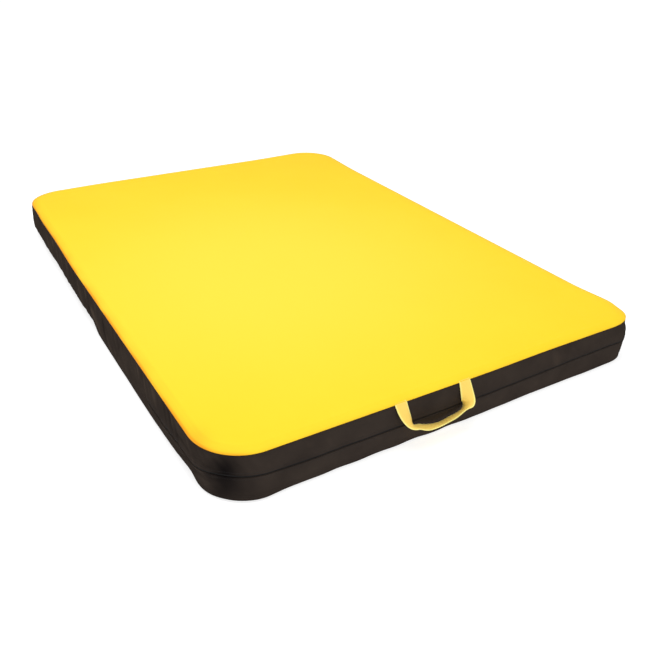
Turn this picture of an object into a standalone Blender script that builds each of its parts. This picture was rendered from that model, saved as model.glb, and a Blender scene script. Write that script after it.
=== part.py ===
"""A bouldering crash pad that folds in half across its middle, at its real size in metres.

X runs along the short side that carries the webbing handle, -Y points to that side and Z is up.
The origin lies on the ground under the middle of the open pad. The rear half stays where it is and
the front half turns over onto it about the fold line, on top of the pad at Y = 0.
"""

import math

import bmesh
import bpy
from mathutils import Matrix, Vector

# Open pad
PAD_WIDTH = 1.0
PAD_LENGTH = 1.385
SEAM_HEIGHT = 0.0965
CORNER_RADIUS = 0.097
EDGE_RADIUS = 0.012
SIDE_BULGE = 0.0045
CROWN_RISE = 0.0065
CROWN_RUN = 0.035
FOLD_CLEARANCE = 0.001

# Layers
SKIN = 0.0012
TOP_FOAM = 0.015
BASE_FOAM = 0.015
GAP = 0.0003

# Zip that opens the front half
ZIP_HEIGHT = 0.049
ZIP_SLOT = 0.006
ZIP_END = 0.38
COIL_WIDTH = 0.0044
COIL_THICKNESS = 0.001
TAPE_SINK = 0.0004
SLIDER_LENGTH = 0.011
SLIDER_WIDTH = 0.009
SLIDER_THICKNESS = 0.0024
ARCH_REACH = 0.003
ARCH_WALL = 0.0012
ARCH_WIDTH = 0.002
ARCH_SINK = 0.0005
PULL_LENGTH = 0.026
PULL_WIDTH = 0.007
PULL_THICKNESS = 0.0012
PULL_WAIST = 0.8

# Carry handles
HANDLE_WIDTH = 0.026
HANDLE_THICKNESS = 0.0016
HANDLE_LEFT = -0.1365
HANDLE_RIGHT = 0.0105
HANDLE_DROP = 0.071
HANDLE_REACH = 0.0138

# Straps, hooks and buckles, lying in the hollows that they press into the underside
HARNESS_HEIGHT = 0.0048
STRAP_WIDTH = 0.025
STRAP_THICKNESS = 0.0012
WIRE_RADIUS = 0.0011
EYE_CLEARANCE = 0.0003
HOOK_LENGTH = 0.026
HOOK_TIP = 0.012
HOOK_TONGUE = 0.020
HOOK_THROAT = 0.0014
HOOK_PLAY = 0.001
WIRE_BEND = 0.003
LOOP_LENGTH = 0.022
HOLLOW_MARGIN = 0.003
CLOSURE_SPACING = 0.60
CLOSURE_LENGTH = 0.34
CLOSURE_SET_IN = 0.005
LOOP_SET_IN = 0.16
NOTCH_CLEARANCE = 0.0004
SHOULDER_TOP = -0.27
SHOULDER_CENTRE = -0.345
SHOULDER_SPREAD_TOP = 0.090
SHOULDER_SPREAD_LOW = 0.230
SHOULDER_LENGTH = 0.40
SHOULDER_WIDTH = 0.060
SHOULDER_THICKNESS = 0.009
SEWN_WIDTH = 0.75
SEWN_RUN = 0.25
TAPERED_WIDTH = 0.58
TAPER_RUN = 0.35
THINNED = 0.5
THIN_RUN = 0.15
TAB_LENGTH = 0.030
TAIL_LENGTH = 0.075
BUCKLE_WIDTH = 0.033
BUCKLE_LENGTH = 0.026
BUCKLE_BAR = 0.003
BUCKLE_EYE = 0.0024
BUCKLE_CLEARANCE = 0.0008

# Fineness of the curved surfaces
CORNER_STEPS = 10
EDGE_STEPS = 5
CROWN_STEPS = 5
WALL_STEP = 0.014
LEAST_STEP = 0.0015
COIL_STEPS = 4
HANDLE_STEPS = 4
EYE_STEPS = 14
NOSE_STEPS = 4
PADDING_STEPS = 20
SMOOTH_ANGLE = math.radians(35)
SAME_PLACE = 0.000001

FRONT = -1
REAR = 1
TOP_HEIGHT = SEAM_HEIGHT + CROWN_RISE
FOLD_HEIGHT = TOP_HEIGHT + FOLD_CLEARANCE
FOAM_INSET = SKIN + GAP
BASE_FOAM_TOP = FOAM_INSET + BASE_FOAM
TOP_FOAM_BASE = TOP_HEIGHT - FOAM_INSET - TOP_FOAM
EYE_RADIUS = WIRE_RADIUS + EYE_CLEARANCE + STRAP_THICKNESS
HOLLOW_DEPTH = 2 * HARNESS_HEIGHT
HOOK_HALF = STRAP_WIDTH / 2 + GAP + WIRE_RADIUS + HOOK_PLAY
HOLLOW_HALF = max(HOOK_HALF + WIRE_RADIUS, BUCKLE_WIDTH / 2) + HOLLOW_MARGIN

PIVOTS = {}


def remove_old_objects():
    for old in list(bpy.data.objects):
        bpy.data.objects.remove(old, do_unlink=True)


def material(name, color, roughness, metallic=0.0):
    """One Principled material for each piece, so that every piece can be finished by itself."""
    made = bpy.data.materials.new(name)
    made.use_nodes = True
    shader = made.node_tree.nodes["Principled BSDF"]
    shader.inputs["Base Color"].default_value = (*color, 1.0)
    shader.inputs["Roughness"].default_value = roughness
    shader.inputs["Metallic"].default_value = metallic
    made.diffuse_color = (*color, 1.0)
    return made


FINISHES = {
    "landing fabric": ((0.98, 0.70, 0.03), 0.75, 0.0),
    "side fabric": ((0.030, 0.027, 0.025), 0.80, 0.0),
    "base fabric": ((0.020, 0.020, 0.021), 0.70, 0.0),
    "zip tape": ((0.016, 0.015, 0.015), 0.85, 0.0),
    "zip coil": ((0.012, 0.012, 0.012), 0.45, 0.0),
    "zip metal": ((0.10, 0.10, 0.105), 0.40, 0.9),
    "closed-cell foam": ((0.55, 0.56, 0.58), 0.90, 0.0),
    "open-cell foam": ((0.80, 0.76, 0.60), 0.95, 0.0),
    "yellow webbing": ((0.98, 0.66, 0.12), 0.70, 0.0),
    "black webbing": ((0.018, 0.018, 0.019), 0.75, 0.0),
    "strap padding": ((0.028, 0.027, 0.027), 0.85, 0.0),
    "hook wire": ((0.55, 0.56, 0.58), 0.35, 1.0),
    "buckle plastic": ((0.015, 0.015, 0.016), 0.45, 0.0),
}


def pivot(name, place, parent=None):
    """An empty on a joint's axis, which carries the pieces that turn or slide there."""
    empty = bpy.data.objects.new(name, None)
    empty.empty_display_size = 0.03
    bpy.context.collection.objects.link(empty)
    here = Vector(place)
    if parent:
        empty.parent = bpy.data.objects[parent]
        empty.location = here - PIVOTS[parent]
    else:
        empty.location = here
    PIVOTS[name] = here


def link(name, data, finish, body=None):
    """Makes the object and sets its origin on the axis of the body that carries it."""
    data.materials.append(material(name, *FINISHES[finish]))
    piece = bpy.data.objects.new(name, data)
    bpy.context.collection.objects.link(piece)
    if body:
        data.transform(Matrix.Translation(-PIVOTS[body]))
        piece.parent = bpy.data.objects[body]
    return piece


def finish_mesh(bm, name):
    bmesh.ops.remove_doubles(bm, verts=bm.verts, dist=SAME_PLACE)
    bmesh.ops.recalc_face_normals(bm, faces=bm.faces)
    mesh = bpy.data.meshes.new(name)
    bm.to_mesh(mesh)
    bm.free()
    mesh.shade_smooth()
    mesh.set_sharp_from_angle(angle=SMOOTH_ANGLE)
    return mesh


def cutter(bm, name):
    """A shape that only cuts or joins another: hidden in renders and drawn as wire."""
    tool = bpy.data.objects.new(name, finish_mesh(bm, name))
    bpy.context.collection.objects.link(tool)
    tool.hide_render = True
    tool.display_type = "WIRE"
    return tool


def combine(piece, tool, operation):
    step = piece.modifiers.new(tool.name, "BOOLEAN")
    step.operation = operation
    step.solver = "EXACT"
    step.object = tool


# Outline of one half of the pad and the heights of its wall


def wall_bulge(height):
    """How far the stuffed wall stands out at this height, nothing at the seam and the ground."""
    share = min(max(height / SEAM_HEIGHT, 0.0), 1.0)
    return SIDE_BULGE * math.sin(math.pi * share)


def wall_offset(height, depth):
    """Offset from the outline of the layer that lies this deep inside the wall's face."""
    if height >= EDGE_RADIUS:
        return wall_bulge(height) - depth
    radius = EDGE_RADIUS - depth
    below = min(EDGE_RADIUS - height, radius)
    return wall_bulge(height) - EDGE_RADIUS + math.sqrt(radius * radius - below * below)


def wall_profile(depth, low, high):
    """Points (offset, height) up the wall between two heights, close together on its lower edge."""
    radius = EDGE_RADIUS - depth
    angles = [math.radians(90) * i / EDGE_STEPS for i in range(EDGE_STEPS + 1)]
    heights = [EDGE_RADIUS - radius * math.cos(angle) for angle in angles]
    steps = max(1, round((SEAM_HEIGHT - EDGE_RADIUS) / WALL_STEP))
    heights += [EDGE_RADIUS + (SEAM_HEIGHT - EDGE_RADIUS) * i / steps for i in range(1, steps)]
    inside = [h for h in heights if low + LEAST_STEP < h < high - LEAST_STEP]
    return [(wall_offset(h, depth), h) for h in [low, *inside, high]]


def crown_profile(depth):
    """Points (offset, height) over the rolled top edge, from the seam in to the flat middle."""
    points = []
    for i in range(CROWN_STEPS + 1):
        angle = math.radians(90) * i / CROWN_STEPS
        offset = (CROWN_RUN - depth) * math.cos(angle) - CROWN_RUN
        points.append((offset, SEAM_HEIGHT + (CROWN_RISE - depth) * math.sin(angle)))
    return points


def half_outline(side, offset, start=GAP / 2):
    """Plan points round one half, from the right end of the fold to its left end."""
    half_width = PAD_WIDTH / 2 + offset
    half_length = PAD_LENGTH / 2 + offset
    radius = CORNER_RADIUS + offset
    right = [(half_width, start)]
    for i in range(CORNER_STEPS + 1):
        angle = math.radians(90) * i / CORNER_STEPS
        x = half_width - radius + radius * math.cos(angle)
        y = half_length - radius + radius * math.sin(angle)
        right.append((x, y))
    left = [(-x, y) for x, y in reversed(right)]
    return [(x, side * y) for x, y in right + left]


def ring(bm, side, offset, height, start=GAP / 2):
    return [bm.verts.new((x, y, height)) for x, y in half_outline(side, offset, start)]


def bridge(bm, lower, upper):
    for i in range(len(lower) - 1):
        bm.faces.new((lower[i], lower[i + 1], upper[i + 1], upper[i]))


def half_layer(name, finish, side, profile, body=None):
    """A layer as wide as the pad: stacked rings, closed below, above and along the fold."""
    bm = bmesh.new()
    rings = [ring(bm, side, offset, height) for offset, height in profile]
    for lower, upper in zip(rings, rings[1:]):
        bridge(bm, lower, upper)
    bm.faces.new(rings[0])
    bm.faces.new(rings[-1])
    fold_face = [r[0] for r in rings] + [r[-1] for r in reversed(rings)]
    bm.faces.new(fold_face)
    return link(name, finish_mesh(bm, name), finish, body)


def half_band(name, finish, side, profile, body=None, start=GAP / 2):
    """A band round three sides of one half, with the closed profile as its section."""
    bm = bmesh.new()
    rings = [ring(bm, side, offset, height, start) for offset, height in profile]
    for lower, upper in zip(rings, rings[1:] + rings[:1]):
        bridge(bm, lower, upper)
    bm.faces.new([r[0] for r in rings])
    bm.faces.new([r[-1] for r in rings])
    return link(name, finish_mesh(bm, name), finish, body)


def wall_section(low, high):
    """Closed section of a side band between two heights, as thick as the fabric."""
    inner_low = max(low, SKIN)
    return wall_profile(0.0, low, high) + wall_profile(SKIN, inner_low, high)[::-1]


# Hollows pressed into the underside


def frame_at(place, a, b, c):
    """Matrix that maps a shape's own axes to the directions a, b and c at a place."""
    columns = [Vector(a), Vector(b), Vector(c), Vector(place)]
    return Matrix([[column[row] for column in columns] for row in range(3)] + [[0, 0, 0, 1]])


def prism(outline, low, high, frame=None):
    """An outline in a frame's first two axes, drawn out along its third."""
    bm = bmesh.new()
    base = [bm.verts.new((a, b, low)) for a, b in outline]
    top = [bm.verts.new((a, b, high)) for a, b in outline]
    for i in range(len(outline)):
        j = (i + 1) % len(outline)
        bm.faces.new((base[i], base[j], top[j], top[i]))
    bm.faces.new(base)
    bm.faces.new(top)
    if frame:
        bmesh.ops.transform(bm, matrix=frame, verts=bm.verts)
    return bm


def rectangle(a_low, a_high, b_low, b_high):
    return [(a_low, b_low), (a_high, b_low), (a_high, b_high), (a_low, b_high)]


def arc(centre, radius, start, end, steps):
    """Points on an arc between two angles in degrees."""
    points = []
    for i in range(steps + 1):
        angle = math.radians(start + (end - start) * i / steps)
        points.append((centre[0] + radius * math.cos(angle), centre[1] + radius * math.sin(angle)))
    return points


def press_hollow(name, outline_for, base_panel, base_foam):
    """Lines a hollow with the base fabric and clears the foam above it.

    outline_for(grow, reach) gives the hollow's outline, larger all round by grow. A hollow that is
    open at the pad's edge runs as far as reach there.
    """
    panel_edge = PAD_LENGTH / 2 - EDGE_RADIUS - GAP
    past_edge = PAD_LENGTH / 2
    lining_bm = prism(outline_for(SKIN, panel_edge - GAP), SKIN / 2, HOLLOW_DEPTH + SKIN)
    lining = cutter(lining_bm, name + "_lining")
    hollow = cutter(prism(outline_for(0.0, past_edge), -SKIN, HOLLOW_DEPTH), name + "_hollow")
    room_bm = prism(outline_for(FOAM_INSET, past_edge), -SKIN, HOLLOW_DEPTH + FOAM_INSET)
    room = cutter(room_bm, name + "_room")
    combine(base_panel, lining, "UNION")
    combine(base_panel, hollow, "DIFFERENCE")
    combine(base_foam, room, "DIFFERENCE")


# Zip


def make_zip():
    """Tape that fills the slot between the bands, and the coil on it; gives the slider's seat."""
    tape_half = ZIP_SLOT / 2 - GAP
    tape_face = wall_offset(ZIP_HEIGHT, 0.0) - TAPE_SINK
    tape_back = wall_offset(ZIP_HEIGHT, SKIN)
    tape = rectangle(tape_back, tape_face, ZIP_HEIGHT - tape_half, ZIP_HEIGHT + tape_half)
    half_band("zip_tape", "zip tape", FRONT, tape, "front_half")
    coil_base = tape_face + GAP
    coil = []
    for i in range(COIL_STEPS + 1):
        angle = math.pi * i / COIL_STEPS
        height = ZIP_HEIGHT - COIL_WIDTH / 2 * math.cos(angle)
        coil.append((coil_base + COIL_THICKNESS * math.sin(angle), height))
    half_band("zip_coil", "zip coil", FRONT, coil, "front_half", start=ZIP_END)
    return PAD_WIDTH / 2 + coil_base + COIL_THICKNESS + GAP


def make_slider(seat):
    """Slider with its arch, and the pull whose cross bar is caught under the arch."""
    parked = -(ZIP_END + SLIDER_LENGTH)
    pivot("zip_slider_body", (seat, parked, ZIP_HEIGHT), "front_half")
    pivot("zip_pull_body", (seat + SLIDER_THICKNESS + PULL_THICKNESS, parked, ZIP_HEIGHT), "zip_slider_body")

    on_wall = frame_at((seat, parked, ZIP_HEIGHT), (0, 1, 0), (0, 0, 1), (1, 0, 0))
    half_length = SLIDER_LENGTH / 2
    half_width = SLIDER_WIDTH / 2
    side = [(-half_length, 0.6 * half_width), (-0.6 * half_length, half_width), (0.2 * half_length, half_width)]
    side.append((half_length, 0.65 * half_width))
    shield = side + [(a, -b) for a, b in reversed(side)]
    slider_mesh = finish_mesh(prism(shield, 0.0, SLIDER_THICKNESS, on_wall), "zip_slider")
    slider = link("zip_slider", slider_mesh, "zip metal", "zip_slider_body")
    foot = SLIDER_THICKNESS - ARCH_SINK
    inner = SLIDER_THICKNESS + PULL_THICKNESS + PULL_THICKNESS / 2 + 2 * GAP
    arch = [(-ARCH_REACH, foot), (-ARCH_REACH, inner), (ARCH_REACH, inner), (ARCH_REACH, foot)]
    outer_reach = ARCH_REACH + ARCH_WALL
    outer = inner + ARCH_WALL
    arch += [(outer_reach, foot), (outer_reach, inner), (ARCH_REACH, outer)]
    arch += [(-ARCH_REACH, outer), (-outer_reach, inner), (-outer_reach, foot)]
    across = frame_at((seat, parked, ZIP_HEIGHT), (0, 1, 0), (1, 0, 0), (0, 0, 1))
    arch_tool = cutter(prism(arch, -ARCH_WIDTH / 2, ARCH_WIDTH / 2, across), "slider_arch")
    combine(slider, arch_tool, "UNION")

    root = PULL_THICKNESS / 2
    half_pull = PULL_WIDTH / 2
    waist = PULL_WAIST * half_pull
    waist_end = PULL_LENGTH / 3
    tip = arc((PULL_LENGTH - half_pull, 0.0), half_pull, -90, 90, 8)
    plate = [(-root, -waist), (waist_end, -waist), *tip, (waist_end, waist), (-root, waist)]
    at_bar = SLIDER_THICKNESS + PULL_THICKNESS
    pull_bm = prism(plate, at_bar - root, at_bar + root, on_wall)
    pull = link("zip_pull", finish_mesh(pull_bm, "zip_pull"), "zip metal", "zip_pull_body")
    reach = math.hypot(outer_reach, outer - at_bar) + 2 * GAP
    window = rectangle(root, reach, -ARCH_WIDTH / 2 - 2 * GAP, ARCH_WIDTH / 2 + 2 * GAP)
    window_tool = cutter(prism(window, at_bar - 2 * root, at_bar + 2 * root, on_wall), "pull_window")
    combine(pull, window_tool, "DIFFERENCE")


# Carry handles: webbing that turns a quarter turn in each leg, so that the grip lies flat


def handle_stations():
    """Where the webbing runs, chosen by eye from leg to leg.

    Each has its share of the way across, of the drop and of the reach from the wall, and the
    direction (across, outwards, up) in which the webbing's width points.
    """
    return [
        (0.00, 0.00, 0.00, (1.00, 0.00, 0.00)),
        (0.02, 0.20, 0.27, (0.98, -0.13, 0.00)),
        (0.055, 0.40, 0.53, (0.93, -0.33, -0.10)),
        (0.10, 0.56, 0.79, (0.82, -0.45, -0.32)),
        (0.155, 0.67, 1.01, (0.62, -0.62, -0.46)),
        (0.255, 0.75, 1.13, (0.45, -0.86, -0.26)),
        (0.385, 0.83, 1.17, (0.30, -0.92, -0.28)),
        (0.575, 0.865, 1.16, (0.20, -0.89, -0.46)),
        (0.745, 0.81, 1.14, (0.10, -0.88, -0.48)),
        (0.865, 0.745, 1.10, (0.00, -0.78, -0.62)),
        (0.955, 0.67, 1.02, (-0.14, -0.70, -0.64)),
        (1.005, 0.53, 0.86, (-0.58, -0.50, -0.40)),
        (1.008, 0.30, 0.46, (-0.95, -0.28, -0.06)),
        (1.00, 0.00, 0.00, (-1.00, 0.00, 0.00)),
    ]


def smooth_between(values, i, share):
    """Catmull-Rom curve between value i and the next."""
    last = len(values) - 1
    before, here, after, beyond = (values[min(max(k, 0), last)] for k in range(i - 1, i + 3))
    slope_here = (after - before) / 2
    slope_after = (beyond - here) / 2
    square = share * share
    cube = square * share
    return (
        here * (2 * cube - 3 * square + 1)
        + slope_here * (cube - 2 * square + share)
        + after * (3 * square - 2 * cube)
        + slope_after * (cube - square)
    )


def make_handle(name, side, body):
    """Webbing swept along its stations, with both ends cut level where the seam holds them."""
    axis_offset = HANDLE_THICKNESS / 2 + GAP
    pivot(body, (0.0, side * (PAD_LENGTH / 2 + axis_offset), SEAM_HEIGHT), "front_half" if side == FRONT else None)
    centres = []
    widths = []
    for across, down, reach, width in handle_stations():
        height = SEAM_HEIGHT - HANDLE_DROP * down
        offset = wall_bulge(height) + axis_offset + HANDLE_REACH * reach
        x = HANDLE_LEFT + (HANDLE_RIGHT - HANDLE_LEFT) * across
        centres.append(Vector((x, side * (PAD_LENGTH / 2 + offset), height)))
        widths.append(Vector((width[0], side * width[1], width[2])))
    path = []
    directions = []
    for i in range(len(centres) - 1):
        for k in range(HANDLE_STEPS):
            path.append(smooth_between(centres, i, k / HANDLE_STEPS))
            directions.append(smooth_between(widths, i, k / HANDLE_STEPS))
    path.append(centres[-1])
    directions.append(widths[-1])
    down = Vector((0.0, 0.0, -1.0))
    runs = [(after - before).normalized() for before, after in zip(path, path[2:])]
    bm = bmesh.new()
    sections = []
    for place, width, along in zip(path, directions, [down, *runs, -down]):
        across = (width - along * width.dot(along)).normalized()
        through = across.cross(along)
        corners = [(-0.5, -0.5), (0.5, -0.5), (0.5, 0.5), (-0.5, 0.5)]
        section = [place + across * HANDLE_WIDTH * a + through * HANDLE_THICKNESS * b for a, b in corners]
        sections.append([bm.verts.new(point) for point in section])
    loft(bm, sections)
    return link(name, finish_mesh(bm, name), "yellow webbing", body)


def loft(bm, sections):
    """Joins closed sections into one solid and closes both ends."""
    count = len(sections[0])
    for lower, upper in zip(sections, sections[1:]):
        for i in range(count):
            j = (i + 1) % count
            bm.faces.new((lower[i], lower[j], upper[j], upper[i]))
    bm.faces.new(sections[0])
    bm.faces.new(sections[-1])


# Straps, hooks and buckles


def webbing(name, frame, length, body, start_eye=None, end_eye=None, rise=0.0):
    """A flat strap along the frame's first axis, with a round nose or a sewn eye at each end.

    An eye is given by the radius of its hole. The strap lies the rise above the middle of its eyes.
    """
    half = STRAP_THICKNESS / 2
    outline = []
    holes = []
    for place, eye, at_start in ((0.0, start_eye, True), (length, end_eye, False)):
        radius = eye + STRAP_THICKNESS if eye else half
        level = 0.0 if eye else rise
        upper = math.degrees(math.asin(min((rise - level + half) / radius, 1.0)))
        lower = math.degrees(math.asin(min((level - rise + half) / radius, 1.0)))
        start, end = (upper, 360 - lower) if at_start else (180 + lower, 540 - upper)
        outline += arc((place, level), radius, start, end, EYE_STEPS if eye else NOSE_STEPS)
        if eye:
            holes.append((place, eye))
    strap_bm = prism(outline, -STRAP_WIDTH / 2, STRAP_WIDTH / 2, frame)
    strap = link(name, finish_mesh(strap_bm, name), "black webbing", body)
    for i, (place, eye) in enumerate(holes):
        hole = arc((place, 0.0), eye, 0, 360 - 360 / EYE_STEPS, EYE_STEPS - 1)
        tool = cutter(prism(hole, -STRAP_WIDTH, STRAP_WIDTH, frame), name + "_eye_" + str(i + 1))
        combine(strap, tool, "DIFFERENCE")
    return strap


def bend(before, corner, after):
    """Points that round a corner of a wire."""
    start = corner + (before - corner).normalized() * WIRE_BEND
    end = corner + (after - corner).normalized() * WIRE_BEND
    points = []
    for share in (0.0, 0.25, 0.5, 0.75, 1.0):
        points.append(start * (1 - share) ** 2 + corner * 2 * share * (1 - share) + end * share**2)
    return points


def hook_wire():
    """One closed wire in the hook's own axes (along, up, across): bar, arms and a turned-back tongue."""
    turn = WIRE_RADIUS + HOOK_THROAT / 2
    arm = HOOK_TONGUE / 2
    right_bar = Vector((0.0, 0.0, HOOK_HALF))
    right_arm = Vector((HOOK_LENGTH, 0.0, arm))
    right_tip = Vector((HOOK_LENGTH - HOOK_TIP, -2 * turn, arm))
    right_back = Vector((HOOK_LENGTH, -2 * turn, arm))
    flip = Matrix.Diagonal((1, 1, -1))
    round_turn = []
    for degrees in (0, 45, 90, 135, 180):
        angle = math.radians(degrees)
        shift = Vector((turn * math.sin(angle), turn * (math.cos(angle) - 1), 0.0))
        round_turn.append(right_arm + shift)
    half = bend(flip @ right_bar, right_bar, right_arm)
    half += round_turn
    half += bend(right_back, right_tip, flip @ right_tip)
    return half + [flip @ point for point in reversed(half)]


def wire_hook(name, frame, body):
    data = bpy.data.curves.new(name, "CURVE")
    data.dimensions = "3D"
    data.bevel_depth = WIRE_RADIUS
    data.bevel_resolution = 2
    points = hook_wire()
    spline = data.splines.new("POLY")
    spline.points.add(len(points) - 1)
    for point, place in zip(spline.points, points):
        point.co = (*(frame @ place), 1.0)
    spline.use_cyclic_u = True
    return link(name, data, "hook wire", body)


def hook_reach():
    """How far the hook stands out past its bar."""
    return HOOK_LENGTH + WIRE_RADIUS + HOOK_THROAT / 2 + WIRE_RADIUS


def hook_loop(name, root, along, body):
    """Short webbing loop sewn to the roof of its hollow, with its eye turned to the hook."""
    rise = EYE_RADIUS - STRAP_THICKNESS / 2
    place = (*root, HOLLOW_DEPTH - GAP - EYE_RADIUS)
    frame = frame_at(place, (*along, 0), (0, 0, 1), (along[1], -along[0], 0))
    return webbing(name, frame, LOOP_LENGTH, body, None, WIRE_RADIUS + EYE_CLEARANCE, rise)


def make_closure(side_name, x, rear_panel, rear_foam, rear_band, front_panel, front_foam):
    """Strap with its hook, sewn into the rear half's lower seam, and its loop on the front half."""
    strap_body = "closure_strap_body_" + side_name
    hook_body = "closure_hook_body_" + side_name
    root_y = PAD_LENGTH / 2 - CLOSURE_SET_IN
    bar_y = root_y - CLOSURE_LENGTH
    pivot(strap_body, (x, root_y, HARNESS_HEIGHT))
    pivot(hook_body, (x, bar_y, HARNESS_HEIGHT), strap_body)
    eye = WIRE_RADIUS + EYE_CLEARANCE
    at_root = frame_at((x, root_y, HARNESS_HEIGHT), (0, -1, 0), (0, 0, 1), (-1, 0, 0))
    webbing("closure_strap_" + side_name, at_root, CLOSURE_LENGTH, strap_body, None, eye)
    at_bar = frame_at((x, bar_y, HARNESS_HEIGHT), (0, -1, 0), (0, 0, 1), (-1, 0, 0))
    wire_hook("closure_hook_" + side_name, at_bar, hook_body)
    end_y = bar_y - hook_reach() - HOLLOW_MARGIN

    def strap_outline(grow, reach):
        half = HOLLOW_HALF + grow
        return rectangle(x - half, x + half, end_y - grow, reach)

    press_hollow("closure_" + side_name, strap_outline, rear_panel, rear_foam)
    notch_half = STRAP_WIDTH / 2 + NOTCH_CLEARANCE
    notch = rectangle(x - notch_half, x + notch_half, PAD_LENGTH / 2 - 2 * EDGE_RADIUS, PAD_LENGTH / 2 + SIDE_BULGE)
    combine(rear_band, cutter(prism(notch, -SKIN, HOLLOW_DEPTH), "notch_" + side_name), "DIFFERENCE")

    eye_y = LOOP_SET_IN - PAD_LENGTH / 2
    loop_root = eye_y + LOOP_LENGTH
    hook_loop("closure_loop_" + side_name, (x, loop_root), (0, -1), "front_half")

    def loop_outline(grow, _reach):
        half = STRAP_WIDTH / 2 + HOLLOW_MARGIN + grow
        return rectangle(x - half, x + half, eye_y - HOOK_LENGTH - grow, loop_root + STRAP_THICKNESS + grow)

    press_hollow("closure_loop_" + side_name, loop_outline, front_panel, front_foam)


# Shoulder straps, on the front half's underside, which is the wearer's side when the pad is folded


def eased(share):
    held = min(max(share, 0.0), 1.0)
    return held * held * (3 - 2 * held)


def shoulder_line(x, turn):
    """Y of a shoulder strap's middle line; turn is +1 for the strap nearer the fold, -1 for the other."""
    share = eased((x - SHOULDER_TOP) / SHOULDER_LENGTH)
    spread = SHOULDER_SPREAD_TOP + (SHOULDER_SPREAD_LOW - SHOULDER_SPREAD_TOP) * share
    return SHOULDER_CENTRE + turn * spread / 2


def padding_half(x):
    """Half width of the padding: drawn in at its sewn end and again where it meets the webbing."""
    share = (x - SHOULDER_TOP) / SHOULDER_LENGTH
    sewn = SEWN_WIDTH + (1 - SEWN_WIDTH) * eased(share / SEWN_RUN)
    lower = 1 - (1 - TAPERED_WIDTH) * eased((share - 1 + TAPER_RUN) / TAPER_RUN)
    return SHOULDER_WIDTH / 2 * sewn * lower


def padding_section(x, turn, half_thickness):
    half = padding_half(max(x, SHOULDER_TOP))
    middle = shoulder_line(x, turn)
    points = []
    for degrees in (0, 25, 60, 90, 120, 155, 180, 205, 240, 270, 300, 335):
        c = math.cos(math.radians(degrees))
        s = math.sin(math.radians(degrees))
        y = middle + half * math.copysign(abs(c) ** 0.6, c)
        z = HARNESS_HEIGHT + half_thickness * math.copysign(abs(s) ** 0.7, s)
        points.append((x, y, z))
    return points


def make_padding(name, turn, body):
    half_thickness = SHOULDER_THICKNESS / 2
    bm = bmesh.new()
    sections = []
    for degrees in (75, 50, 25):
        angle = math.radians(degrees)
        x = SHOULDER_TOP - half_thickness * math.sin(angle)
        sections.append(padding_section(x, turn, half_thickness * math.cos(angle)))
    for i in range(PADDING_STEPS + 1):
        share = i / PADDING_STEPS
        thinned = half_thickness * (1 - (1 - THINNED) * eased((share - 1 + THIN_RUN) / THIN_RUN))
        sections.append(padding_section(SHOULDER_TOP + SHOULDER_LENGTH * share, turn, thinned))
    loft(bm, [[bm.verts.new(point) for point in section] for section in sections])
    return link(name, finish_mesh(bm, name), "strap padding", body)


def make_buckle(name, first_bar, y, body):
    """Ladder lock with three bars; the padding's tab goes round the first, the tail round the last."""
    half_bar = BUCKLE_BAR / 2
    half_width = BUCKLE_WIDTH / 2
    plate = rectangle(-half_bar, BUCKLE_LENGTH - half_bar, -half_width, half_width)
    frame = frame_at((first_bar, y, HARNESS_HEIGHT), (1, 0, 0), (0, 1, 0), (0, 0, 1))
    buckle = link(name, finish_mesh(prism(plate, -half_bar, half_bar, frame), name), "buckle plastic", body)
    slot_half = STRAP_WIDTH / 2 + BUCKLE_CLEARANCE
    slot_length = (BUCKLE_LENGTH - 3 * BUCKLE_BAR) / 2
    for i in range(2):
        start = half_bar + i * (slot_length + BUCKLE_BAR)
        slot = rectangle(start, start + slot_length, -slot_half, slot_half)
        tool = cutter(prism(slot, -BUCKLE_BAR, BUCKLE_BAR, frame), name + "_slot_" + str(i + 1))
        combine(buckle, tool, "DIFFERENCE")
    rounding = buckle.modifiers.new("rounding", "BEVEL")
    rounding.width = BUCKLE_BAR / 6
    rounding.segments = 1
    rounding.limit_method = "ANGLE"
    return buckle


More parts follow.
